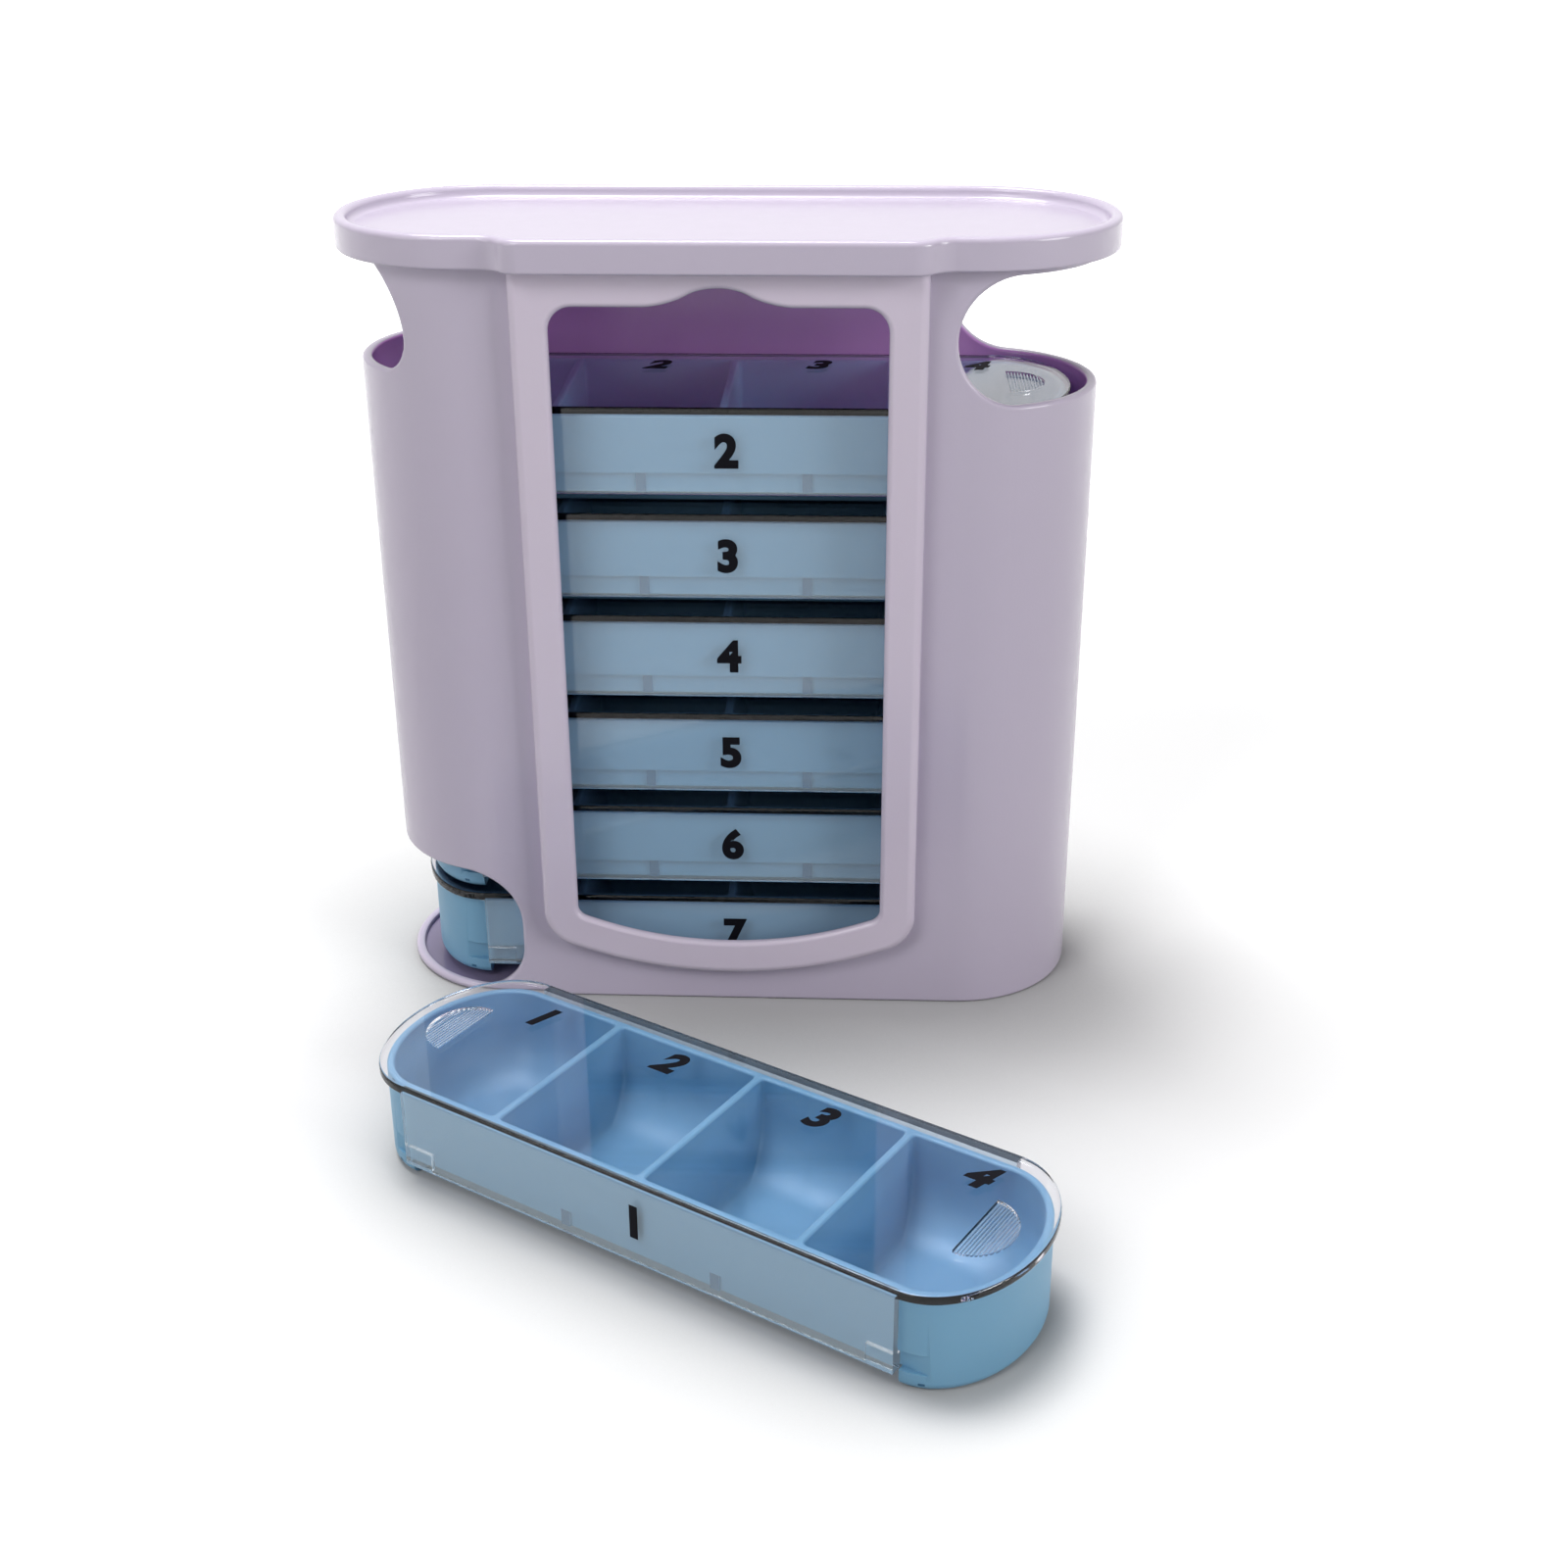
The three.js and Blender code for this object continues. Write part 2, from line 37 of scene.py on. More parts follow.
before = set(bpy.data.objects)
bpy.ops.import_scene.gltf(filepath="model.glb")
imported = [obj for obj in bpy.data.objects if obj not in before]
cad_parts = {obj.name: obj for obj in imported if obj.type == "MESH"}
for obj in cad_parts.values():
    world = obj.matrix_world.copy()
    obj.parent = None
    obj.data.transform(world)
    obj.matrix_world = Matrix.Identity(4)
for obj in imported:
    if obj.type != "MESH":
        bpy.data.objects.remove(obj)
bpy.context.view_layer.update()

# Every length below is in millimetres.
MM = 0.001

# Housing
HOUSING_HEIGHT = 135.6
HOUSING_FLAT = 41.7
HOUSING_RADIUS = 21.8
HOUSING_WALL = 1.8
HOUSING_FLOOR = 0.45
FLOOR_RECESS = 0.1
WRAP_LENGTH = 4 * HOUSING_FLAT + 2 * math.pi * HOUSING_RADIUS
FRONT_MIDDLE = WRAP_LENGTH / 2
LEFT_END_MIDDLE = HOUSING_FLAT + math.pi * HOUSING_RADIUS / 2
RIGHT_END_MIDDLE = WRAP_LENGTH - LEFT_END_MIDDLE
ARC_CUTS = 44
WRAP_STEPS = 96
BASE_EDGE = 0.6

# Raised frame and window
FRAME_PROUD = 3.0
FRAME_WALL = 1.5
FRAME_HALF = 34.0
FRAME_BOTTOM = 6.9
FRAME_SAG = 7.1
FRAME_CORNER = 5.0
WINDOW_HALF = 27.6
WINDOW_BOTTOM = 13.6
WINDOW_SAG = 5.3
WINDOW_TOP = 130.1
WINDOW_CORNER = 1.5
WINDOW_TOP_CORNER = 4.0
WINDOW_FRONT_EDGE = 0.9
WINDOW_BACK_EDGE = 0.35
NOTCH_FOOT = 8.6
NOTCH_FOOT_ROUND = 3.6
NOTCH_PEAK = 134.6
NOTCH_PEAK_ROUND = 5.4
SAG_TRIM = 0.05
SAG_STEPS = 28
SAG_BOW = 0.5625

# Openings in the ends, measured along the wall from the middle of the end
LOADING_HALF = 37.2
LOADING_BOTTOM = 113.4
LOADING_TOP = 134.7
EXIT_HALF = 37.35
EXIT_TOP = 25.7
EXIT_TOP_ROUND = 10.7
EXIT_LOW_ROUND = 8.6
LIP_HEIGHT = 1.45
FINGER_HALF = 22.84
FINGER_BOTTOM = 117.7
FINGER_SHOULDER = 130.84
FINGER_TOP_HALF = 10.6
FINGER_TOP = 139.0
FINGER_LOW_ROUND = 5.6
FINGER_HIGH_ROUND = 7.3

# Rails on the floor
RAIL_LENGTH = 80.0
RAIL_WIDTH = 3.0
RAIL_SPACING = 24.0
RAIL_TOP = 1.3
RAIL_EDGE = 0.3

# Cap
CAP_BOTTOM = 135.9
CAP_TOP = 141.4
CAP_OVERHANG = 2.8
CAP_RADIUS = HOUSING_RADIUS + CAP_OVERHANG
CAP_RIM = 2.2
CAP_DISH = 2.0
CAP_DISH_FILLET = 1.2
CAP_PLATE_BOTTOM = 137.8
BULGE_HALF = 36.0
BULGE_SLOPE = 2.7
BULGE_REACH = 3.6
BULGE_ROUND = 2.2
CAP_UNDER_EDGE = 0.5
SPIGOT_OUTER = 19.7
SPIGOT_INNER = 18.3
SPIGOT_BOTTOM = 134.9
TONGUE_BOTTOM = 132.7
TONGUE_HALF = 37.0

# Day tray, in its own place: middle at the origin, standing on the ground
TRAY_FLAT = 46.0
TRAY_HALF_DEPTH = 17.2
TRAY_END = 12.4
TRAY_HEIGHT = 16.5
TRAY_WALL = 1.3
TRAY_FLOOR = 1.5
TRAY_BASE_EDGE = 1.6
POCKETS = 4
POCKET_PITCH = 28.3
DIVIDER = 1.4
SCOOP = 8.6
SIDE_SCOOP = 3.0
SCOOP_STEPS = 8
POCKET_CORNER = 0.7
FOOT_HEIGHT = 3.1
FOOT_INSET = 3.9
FOOT_SLOPE = 2.1
GROOVE_TOP = 6.6
GROOVE_DEPTH = 1.1
DETENT_WIDTH = 1.7
DETENT_PROUD = 0.4
DETENT_FACING = 0.8

# Sliding lid, in its tray's place
LID_BOTTOM = 16.8
LID_TOP = 18.2
LID_HALF_DEPTH = 18.8
LID_END = 13.2
LID_EDGE = 0.4
FLAP = 1.3
FLAP_HALF = 45.95
FLAP_BOTTOM = 3.1
FLAP_EDGE = 0.2
HOOK_LENGTH = 5.0
HOOK_TOP = 6.1
HOOK_REACH = 0.7
GRIP_FLAT = 48.3
GRIP_REACH = 6.4
GRIP_HALF = 7.0
GRIP_DEPTH = 0.6
GRIP_RIBS = 11
GRIP_RIB_PITCH = 0.54
GRIP_RIB_WIDTH = 0.24
GRIP_RIB_HEIGHT = 0.45
GRIP_RIB_START = 0.8
GRIP_CORNER = 0.3

# Stack of trays, and the loose tray in front, which stands so far back that its smooth round end
# stays inside the CAD model's box
DAYS = 7
# Lids from this day on carry the stack's painted shade
DARK_FROM_DAY = 3
STACK_BASE = 1.6
TRAY_PITCH = 18.5
LOOSE_X = 0.1
LOOSE_Y = -87.65
LOOSE_TURN = math.radians(-30.9)

# Printed numbers
DAY_NUMBER_X = 0.6
DAY_NUMBER_Z = 10.5
PART_NUMBERS = ((-40.4, 9.5), (-13.9, 9.9), (14.8, 10.3), (42.9, 10.4))
PART_NUMBER_SLANT = 0.3
TYPE_SIZE = 1.42
TYPE_WEIGHT = 0.07
TYPE_STEPS = 6
INK_PROUD = 0.03

# Workshop lengths: how far a tool reaches past what it cuts, how far pieces overlap before they
# are welded, how close doubles merge, and how close a cut snaps
PAST = 4.0
OVERLAP = 0.4
MERGE = 0.01
SEAM_MERGE = 0.1
SNAP = 0.001

# Workshop angles: shading is smooth below the first, and an edge turned by the second is sharp
SMOOTH_ANGLE = math.radians(32)
SHARP = 0.8

# Plastics. Noises have a scale, a detail and a roughness, and MASK_SLACK is a length
CLOUD_NOISE = (38, 3, 0.5)
POLISH_NOISE = (260, 4, 0.6)
GRAIN_NOISE = (2600, 2, 0.5)
BUMP_STRENGTH = 0.12
BUMP_HEIGHT = 0.2
MASK_SLACK = 0.2
PLASTIC_IOR = 1.5
SHELL_SOFT = 0.12
SHELL_SOFT_RADIUS = (1.0, 0.8, 1.0)
TRAY_SOFT = 0.25
TRAY_SOFT_RADIUS = (0.5, 0.9, 1.2)
MOULD_GRAIN = 0.5
INK_ROUGHNESS = 0.55
INK_GRAIN = 0.8
INK_IOR = 1.15
LID_IOR = 1.42
LID_BOUNCES = 6
LID_ROUGHNESS_SPREAD = 0.03
SATIN_CLEARNESS = 0.84
SATIN_TINT = (0.82, 0.94, 1.0)
SATIN_FACING = 0.9

# What passes a face of a lid, for bounced light and for the shadow
CLEAR_PASSING = ((0.92, 0.93, 0.95), (0.82, 0.84, 0.88))
# The stacked lids pass far less light than the clear ones, a painted shade between the trays
STACK_SHADE_PASSING = ((0.30, 0.30, 0.36), (0.36, 0.36, 0.42))


def mm(*lengths):
    """Millimetres as a point in metres."""
    return Vector(lengths) * MM


def clear_bench():
    """Object mode, with nothing selected."""
    if bpy.context.object and bpy.context.object.mode != "OBJECT":
        bpy.ops.object.mode_set(mode="OBJECT")
    bpy.ops.object.select_all(action="DESELECT")


def take(piece):
    """Makes a piece the only one on the bench."""
    clear_bench()
    piece.select_set(True)
    bpy.context.view_layer.objects.active = piece


def shape(piece):
    """Opens a piece in edit mode with everything selected."""
    take(piece)
    bpy.ops.object.mode_set(mode="EDIT")
    bpy.ops.mesh.select_mode(type="VERT")
    bpy.ops.mesh.select_all(action="SELECT")


def pick(piece, part, test):
    """In edit mode, selects the verts, edges or faces that pass a test, and says how many."""
    bpy.ops.mesh.select_mode(type={"verts": "VERT", "edges": "EDGE", "faces": "FACE"}[part])
    bpy.ops.mesh.select_all(action="DESELECT")
    mesh = bmesh.from_edit_mesh(piece.data)
    items = getattr(mesh, part)
    items.index_update()
    found = [item for item in items if test(item)]
    for item in found:
        item.select_set(True)
    mesh.select_flush_mode()
    bmesh.update_edit_mesh(piece.data)
    return len(found)


def near(value, wanted, slack=0.02):
    """Whether a length in metres is a wanted one in millimetres."""
    return abs(value / MM - wanted) < slack


def lies_at(item, axis, level):
    """Whether an edge or a face lies at one level, in millimetres, along an axis."""
    return all(near(getattr(v.co, axis), level) for v in item.verts)


def is_outer_edge(edge):
    """Whether an edge is sharp and stands out."""
    return len(edge.link_faces) == 2 and edge.calc_face_angle_signed(0) > SHARP


def round_picked(width, steps):
    """Rounds the selected edges."""
    bpy.ops.mesh.bevel(offset=width * MM, segments=steps, affect="EDGES", profile=0.5)


def round_edges(piece, width, steps, test):
    """Rounds the outer edges of a piece that pass a test."""
    shape(piece)
    if not pick(piece, "edges", lambda edge: is_outer_edge(edge) and test(edge)):
        raise RuntimeError("no edge to round on " + piece.name)
    round_picked(width, steps)
    clear_bench()


def face_outwards(piece):
    """Merges doubled vertices and turns every face outwards."""
    shape(piece)
    bpy.ops.mesh.remove_doubles(threshold=MERGE * MM)
    bpy.ops.mesh.normals_make_consistent(inside=False)
    if bmesh.from_edit_mesh(piece.data).calc_volume(signed=True) < 0:
        bpy.ops.mesh.flip_normals()
    clear_bench()


def plate(name, corners, low, high, upright=False):
    """A solid plate from corners (u, v, round, steps) between two levels. A lying plate's
    levels are heights, and an upright plate's run backwards."""
    def place(u, v, level):
        return mm(u, level, v) if upright else mm(u, v, level)

    clear_bench()
    bpy.ops.mesh.primitive_circle_add(vertices=len(corners), radius=MM, fill_type="NGON")
    piece = bpy.context.object
    piece.name = name
    shape(piece)
    for index, corner in enumerate(corners):
        target = place(corner[0], corner[1], low)
        starts = [vertex.co.copy() for vertex in bmesh.from_edit_mesh(piece.data).verts]
        pick(piece, "verts", lambda vertex: vertex.index == index)
        bpy.ops.transform.translate(value=target - starts[index])
    for u, v, *rounding in corners:
        if rounding and rounding[0]:
            target = place(u, v, low)
            pick(piece, "verts", lambda vertex: (vertex.co - target).length < SNAP * MM)
            bpy.ops.mesh.bevel(
                offset_type="ABSOLUTE",
                offset=rounding[0] * MM,
                segments=rounding[1],
                affect="VERTICES",
                profile=rounding[2] if len(rounding) > 2 else 0.5,
            )
    bpy.ops.mesh.select_all(action="SELECT")
    rise = mm(0, high - low, 0) if upright else mm(0, 0, high - low)
    bpy.ops.mesh.extrude_region_move(TRANSFORM_OT_translate={"value": rise})
    clear_bench()
    face_outwards(piece)
    return piece


def block(name, low, high):
    """A box between two corners."""
    size = [h - l for l, h in zip(low, high)]
    middle = [(h + l) / 2 for l, h in zip(low, high)]
    clear_bench()
    bpy.ops.mesh.primitive_cube_add(size=1, location=mm(*middle), scale=mm(*size))
    bpy.ops.object.transform_apply()
    piece = bpy.context.object
    piece.name = name
    return piece


def full_round(half, steps):
    """A round as wide as half a side, but for a hair, so that it can't meet its neighbour."""
    return half - MERGE / 4, steps


def four_corners(left, right, low, high, left_round, right_round=None):
    """Corners of a rectangle, rounded on the left and on the right."""
    right_round = right_round or left_round
    return [
        (left, low, *left_round),
        (right, low, *right_round),
        (right, high, *right_round),
        (left, high, *left_round),
    ]


def ended_corners(flat, half_depth, steps):
    """Corners of an outline with straight sides and round ends, before its ends are squeezed."""
    reach = flat + half_depth
    return four_corners(-reach, reach, -half_depth, half_depth, full_round(half_depth, steps))


def squeeze_ends(piece, flat, share, sides=(1, -1)):
    """Squeezes the round ends of a piece lengthwise, from where its straight sides stop."""
    shape(piece)
    for side in sides:
        pick(piece, "verts", lambda vertex: vertex.co.x * side > (flat + SNAP) * MM)
        bpy.ops.transform.resize(value=(share, 1, 1), center_override=mm(side * flat, 0, 0))
    clear_bench()


def use_modifier(piece, kind, **settings):
    """Adds a modifier to a piece and applies it."""
    take(piece)
    bpy.ops.object.modifier_add(type=kind)
    modifier = piece.modifiers[-1]
    for key, value in settings.items():
        setattr(modifier, key, value)
    bpy.ops.object.modifier_apply(modifier=modifier.name)


def combine(piece, tool, how):
    """Joins a tool to a piece or cuts it out, and uses the tool up."""
    use_modifier(piece, "BOOLEAN", operation=how, solver="EXACT", object=tool)
    bpy.data.objects.remove(tool)


def cut(piece, *tools):
    for tool in tools:
        combine(piece, tool, "DIFFERENCE")


def weld(piece, *tools):
    for tool in tools:
        combine(piece, tool, "UNION")


def slice_at(piece, point, normal, **settings):
    """Cuts a piece along a plane."""
    shape(piece)
    bpy.ops.mesh.bisect(plane_co=point, plane_no=normal, threshold=SNAP * MM, **settings)
    clear_bench()


def smooth(piece):
    """Smooth shading with crisp edges, led by the large faces."""
    take(piece)
    bpy.ops.object.shade_smooth_by_angle(angle=SMOOTH_ANGLE)
    use_modifier(piece, "WEIGHTED_NORMAL", keep_sharp=True, weight=100)


def put(piece, place):
    """Puts a piece in its place, with its origin at the frame's."""
    piece.matrix_world = place
    take(piece)
    bpy.ops.object.transform_apply()


def copy_of(piece, name, place):
    """A copy with its own mesh, put in its place."""
    twin = piece.copy()
    twin.data = piece.data.copy()
    twin.name = twin.data.name = name
    bpy.context.scene.collection.objects.link(twin)
    put(twin, place)
    return twin


def finish_piece(piece, finish, body, slot, *nodes):
    """Gives a piece its body and its finish unless it has one, and hides the CAD nodes
    it stands for.
    """
    if not piece.data.materials:
        piece.data.materials.append(finish)
    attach(piece, body)
    if nodes:
        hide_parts(*nodes)


def tray_place(day):
    """Where a day's tray stands."""
    if day == 1:
        return Matrix.Translation(mm(LOOSE_X, LOOSE_Y, 0)) @ Matrix.Rotation(LOOSE_TURN, 4, "Z")
    return Matrix.Translation(mm(0, 0, STACK_BASE + (DAYS - day) * TRAY_PITCH))


def lid_body(day):
    """The body that carries a day's lid."""
    return "lid_%d" % day if day in (1, DAYS) else "tray_%d" % day


# Finishes


def add_node(tree, kind, **inputs):
    """A shader node with some of its sockets set."""
    node = tree.nodes.new(kind)
    for key, value in inputs.items():
        node.inputs[key.replace("_", " ")].default_value = value
    return node


def math_node(tree, operation, *values):
    """A math node on values or sockets."""
    node = tree.nodes.new("ShaderNodeMath")
    node.operation = operation
    for socket, value in zip(node.inputs, values):
        if isinstance(value, bpy.types.NodeSocket):
            tree.links.new(value, socket)
        else:
            socket.default_value = value
    return node.outputs[0]


def mix_node(tree, factor, first, second):
    """A colour between two colours or sockets."""
    node = tree.nodes.new("ShaderNodeMix")
    node.data_type = "RGBA"
    for key, value in (("Factor", factor), ("A", first), ("B", second)):
        if isinstance(value, bpy.types.NodeSocket):
            tree.links.new(value, node.inputs[key])
        else:
            node.inputs[key].default_value = (*value, 1)
    return node.outputs["Result"]


def moulded_group():
    """Node group for moulded plastic: cloudy colour, faint polish marks and a fine grain."""
    name = "moulded_plastic"
    if name in bpy.data.node_groups:
        return bpy.data.node_groups[name]
    tree = bpy.data.node_groups.new(name, "ShaderNodeTree")
    for label, kind, value in (
        ("Colour", "NodeSocketColor", (1, 1, 1, 1)),
        ("Cloud Colour", "NodeSocketColor", (1, 1, 1, 1)),
        ("Cloud Amount", "NodeSocketFloat", 0.3),
        ("Roughness", "NodeSocketFloat", 0.3),
        ("Roughness Spread", "NodeSocketFloat", 0.06),
        ("Grain Height", "NodeSocketFloat", 0.1),
    ):
        socket = tree.interface.new_socket(label, in_out="INPUT", socket_type=kind)
        socket.default_value = value
    for label, kind in (
        ("Colour", "NodeSocketColor"),
        ("Roughness", "NodeSocketFloat"),
        ("Height", "NodeSocketFloat"),
    ):
        tree.interface.new_socket(label, in_out="OUTPUT", socket_type=kind)
    given = tree.nodes.new("NodeGroupInput").outputs
    result = tree.nodes.new("NodeGroupOutput").inputs
    place = tree.nodes.new("ShaderNodeTexCoord")
    cloud, polish, grain = (
        add_node(tree, "ShaderNodeTexNoise", Scale=scale, Detail=detail, Roughness=roughness)
        for scale, detail, roughness in (CLOUD_NOISE, POLISH_NOISE, GRAIN_NOISE)
    )
    for texture in (cloud, polish, grain):
        tree.links.new(place.outputs["Object"], texture.inputs["Vector"])
    share = math_node(tree, "MULTIPLY", cloud.outputs["Fac"], given["Cloud Amount"])
    colour = mix_node(tree, share, given["Colour"], given["Cloud Colour"])
    dullness = math_node(
        tree, "MULTIPLY_ADD", polish.outputs["Fac"], given["Roughness Spread"], given["Roughness"]
    )
    height = math_node(tree, "MULTIPLY", grain.outputs["Fac"], given["Grain Height"])
    for label, socket in (("Colour", colour), ("Roughness", dullness), ("Height", height)):
        tree.links.new(socket, result[label])
    return tree


def tower_group():
    """Node group with masks for the tower's inner faces, its floor and its raised frame, which
    place the painted shade and the painted light.
    """
    name = "tower_masks"
    if name in bpy.data.node_groups:
        return bpy.data.node_groups[name]
    tree = bpy.data.node_groups.new(name, "ShaderNodeTree")
    for label in ("Inside", "Floor", "Raised"):
        tree.interface.new_socket(label, in_out="OUTPUT", socket_type="NodeSocketFloat")
    result = tree.nodes.new("NodeGroupOutput")
    place = tree.nodes.new("ShaderNodeTexCoord")
    split = tree.nodes.new("ShaderNodeSeparateXYZ")
    tree.links.new(place.outputs["Object"], split.inputs["Vector"])
    x, y, z = (split.outputs[axis] for axis in "XYZ")
    along = math_node(tree, "SUBTRACT", math_node(tree, "ABSOLUTE", x), HOUSING_FLAT * MM)
    past = math_node(tree, "MAXIMUM", along, 0)
    square = math_node(tree, "MULTIPLY", past, past)
    reach = math_node(tree, "SQRT", math_node(tree, "MULTIPLY_ADD", y, y, square))
    inner = math_node(tree, "LESS_THAN", reach, (HOUSING_RADIUS - HOUSING_WALL + MASK_SLACK) * MM)
    above = math_node(tree, "GREATER_THAN", z, 2 * LIP_HEIGHT * MM)
    below = math_node(tree, "LESS_THAN", z, (CAP_PLATE_BOTTOM + MASK_SLACK / 2) * MM)
    inside = math_node(tree, "MULTIPLY", math_node(tree, "MULTIPLY", inner, above), below)
    tree.links.new(inside, result.inputs["Inside"])
    ground = math_node(tree, "GREATER_THAN", z, HOUSING_FLOOR / 2 * MM)
    low = math_node(tree, "MULTIPLY", ground, math_node(tree, "SUBTRACT", 1, above))
    tree.links.new(math_node(tree, "MULTIPLY", inner, low), result.inputs["Floor"])
    proud = math_node(tree, "MULTIPLY_ADD", y, -1 / MM, -HOUSING_RADIUS)
    climb = math_node(tree, "MULTIPLY", proud, 1 / FRAME_PROUD)
    climb = math_node(tree, "MINIMUM", math_node(tree, "MAXIMUM", climb, 0), 1)
    under_cap = math_node(tree, "LESS_THAN", z, HOUSING_HEIGHT * MM)
    tree.links.new(math_node(tree, "MULTIPLY", climb, under_cap), result.inputs["Raised"])
    return tree


def blank_material(name):
    """A new material with its Principled BSDF wired to the output."""
    material = bpy.data.materials.new(name)
    material.use_nodes = True
    tree = material.node_tree
    tree.nodes.clear()
    output = tree.nodes.new("ShaderNodeOutputMaterial")
    shader = tree.nodes.new("ShaderNodeBsdfPrincipled")
    tree.links.new(shader.outputs["BSDF"], output.inputs["Surface"])
    return material, tree, shader, output


def moulded_shader(tree, shader, colour, cloud, roughness):
    """Wires the moulded plastic group to a shader, and gives the group's node back."""
    group = tree.nodes.new("ShaderNodeGroup")
    group.node_tree = moulded_group()
    group.inputs["Colour"].default_value = (*colour, 1)
    group.inputs["Cloud Colour"].default_value = (*cloud, 1)
    group.inputs["Roughness"].default_value = roughness
    tree.links.new(group.outputs["Colour"], shader.inputs["Base Color"])
    tree.links.new(group.outputs["Roughness"], shader.inputs["Roughness"])
    return group


def moulded_material(
    name,
    colour,
    cloud,
    roughness,
    grain=MOULD_GRAIN,
    soft=0,
    soft_radius=(1, 1, 1),
    tower=(),
    ior=PLASTIC_IOR,
):
    """Opaque moulded plastic, with a little light in its surface where soft is more than zero,
    and, where the tower's colours are given, painted light on the raised frame and painted shade
    on the inner faces and floor."""
    if name in bpy.data.materials:
        return bpy.data.materials[name]
    material, tree, shader, _ = blank_material(name)
    group = moulded_shader(tree, shader, colour, cloud, roughness)
    group.inputs["Grain Height"].default_value = grain
    if tower:
        masks = tree.nodes.new("ShaderNodeGroup")
        masks.node_tree = tower_group()
        tone = group.outputs["Colour"]
        # Painted light on the raised frame, painted shade on the inner faces and on the floor
        for label, painted_tone in zip(("Raised", "Inside", "Floor"), tower):
            tone = mix_node(tree, masks.outputs[label], tone, painted_tone)
        tree.links.new(tone, shader.inputs["Base Color"])
    bump = add_node(tree, "ShaderNodeBump", Strength=BUMP_STRENGTH, Distance=BUMP_HEIGHT * MM)
    tree.links.new(group.outputs["Height"], bump.inputs["Height"])
    tree.links.new(bump.outputs["Normal"], shader.inputs["Normal"])
    shader.inputs["IOR"].default_value = ior
    shader.inputs["Subsurface Weight"].default_value = soft
    shader.inputs["Subsurface Radius"].default_value = soft_radius
    shader.inputs["Subsurface Scale"].default_value = MM
    return material


def clear_material(name, tint, roughness, clearness=1, passing=CLEAR_PASSING):
    """Clear plastic that lets light through in its shadow, and straight on after a few bounces.
    What passes each surface is given for bounced light and for the shadow."""
    if name in bpy.data.materials:
        return bpy.data.materials[name]
    material, tree, shader, output = blank_material(name)
    group = moulded_shader(tree, shader, tint, tint, roughness)
    group.inputs["Roughness Spread"].default_value = LID_ROUGHNESS_SPREAD
    shader.inputs["IOR"].default_value = LID_IOR
    shader.inputs["Transmission Weight"].default_value = clearness
    path = tree.nodes.new("ShaderNodeLightPath").outputs
    clear = tree.nodes.new("ShaderNodeBsdfTransparent")
    tree.links.new(mix_node(tree, path["Is Shadow Ray"], *passing), clear.inputs["Color"])
    late = math_node(tree, "GREATER_THAN", path["Ray Depth"], LID_BOUNCES + 0.5)
    dulled = math_node(tree, "GREATER_THAN", path["Diffuse Depth"], 0.5)
    straight = math_node(tree, "MAXIMUM", late, dulled)
    straight = math_node(tree, "MAXIMUM", straight, path["Is Shadow Ray"])
    mix = tree.nodes.new("ShaderNodeMixShader")
    tree.links.new(straight, mix.inputs["Fac"])
    tree.links.new(shader.outputs["BSDF"], mix.inputs[1])
    tree.links.new(clear.outputs["BSDF"], mix.inputs[2])
    tree.links.new(mix.outputs["Shader"], output.inputs["Surface"])
    return material


def shell_finish():
    """Lilac plastic of the housing and the cap."""
    colours = bpy.context.scene.organizer_colours
    return moulded_material(
        "lilac_shell",
        colours.shell,
        colours.shell_cloud,
        colours.shell_roughness,
        soft=SHELL_SOFT,
        soft_radius=SHELL_SOFT_RADIUS,
        # The tower's colours paint light on the raised frame and shade inside and on the floor
        tower=(colours.shell_raised, colours.shell_inside, colours.shell_floor),
    )


def tray_finish():
    """Light blue plastic of the day trays."""
    colours = bpy.context.scene.organizer_colours
    return moulded_material(
        "blue_tray",
        colours.tray,
        colours.tray_cloud,
        colours.tray_roughness,
        soft=TRAY_SOFT,
        soft_radius=TRAY_SOFT_RADIUS,
    )


def detent_finish():
    """The trays' plastic on the small ribs in their grooves, with painted shade, so that they
    show darker through the flaps.
    """
    colours = bpy.context.scene.organizer_colours
    rib_shade = colours.tray_detent
    return moulded_material("blue_detent", rib_shade, rib_shade, colours.tray_roughness)


def lid_finish():
    """Clear plastic of the lids."""
    colours = bpy.context.scene.organizer_colours
    return clear_material("clear_lid", colours.lid_tint, colours.lid_roughness)


def stacked_finish():
    """The lids' plastic in the stack, passing far less light than the clear lids: a painted shade
    between the trays, where hardly any light gets in.
    """
    colours = bpy.context.scene.organizer_colours
    return clear_material(
        "stacked_lid", colours.lid_tint, colours.lid_roughness, passing=STACK_SHADE_PASSING
    )


def satin_finish():
    """The lids' plastic on their flaps and on the ribs of the thumb grips, a little milky."""
    colours = bpy.context.scene.organizer_colours
    return clear_material("satin_lid", SATIN_TINT, colours.lid_roughness, SATIN_CLEARNESS)


def ink_finish():
    """Black ink of the printed numbers."""
    ink = bpy.context.scene.organizer_colours.ink
    return moulded_material("black_ink", ink, ink, INK_ROUGHNESS, INK_GRAIN, ior=INK_IOR)


def length_setting(name, description, default, low, high):
    """A length that can be set in the sidebar, from values in millimetres."""
    return FloatProperty(
        name=name,
        description=description,
        default=default * MM,
        min=low * MM,
        max=high * MM,
        subtype="DISTANCE",
        unit="LENGTH",
    )


def colour_setting(name, description, default):
    """A colour that can be set in the sidebar."""
    return FloatVectorProperty(
        name=name, description=description, default=default, subtype="COLOR", min=0, max=1
    )


def roughness_setting(name, description, default):
    """A roughness that can be set in the sidebar."""
    return FloatProperty(
        name=name, description=description, default=default, min=0, max=1, subtype="FACTOR"
    )


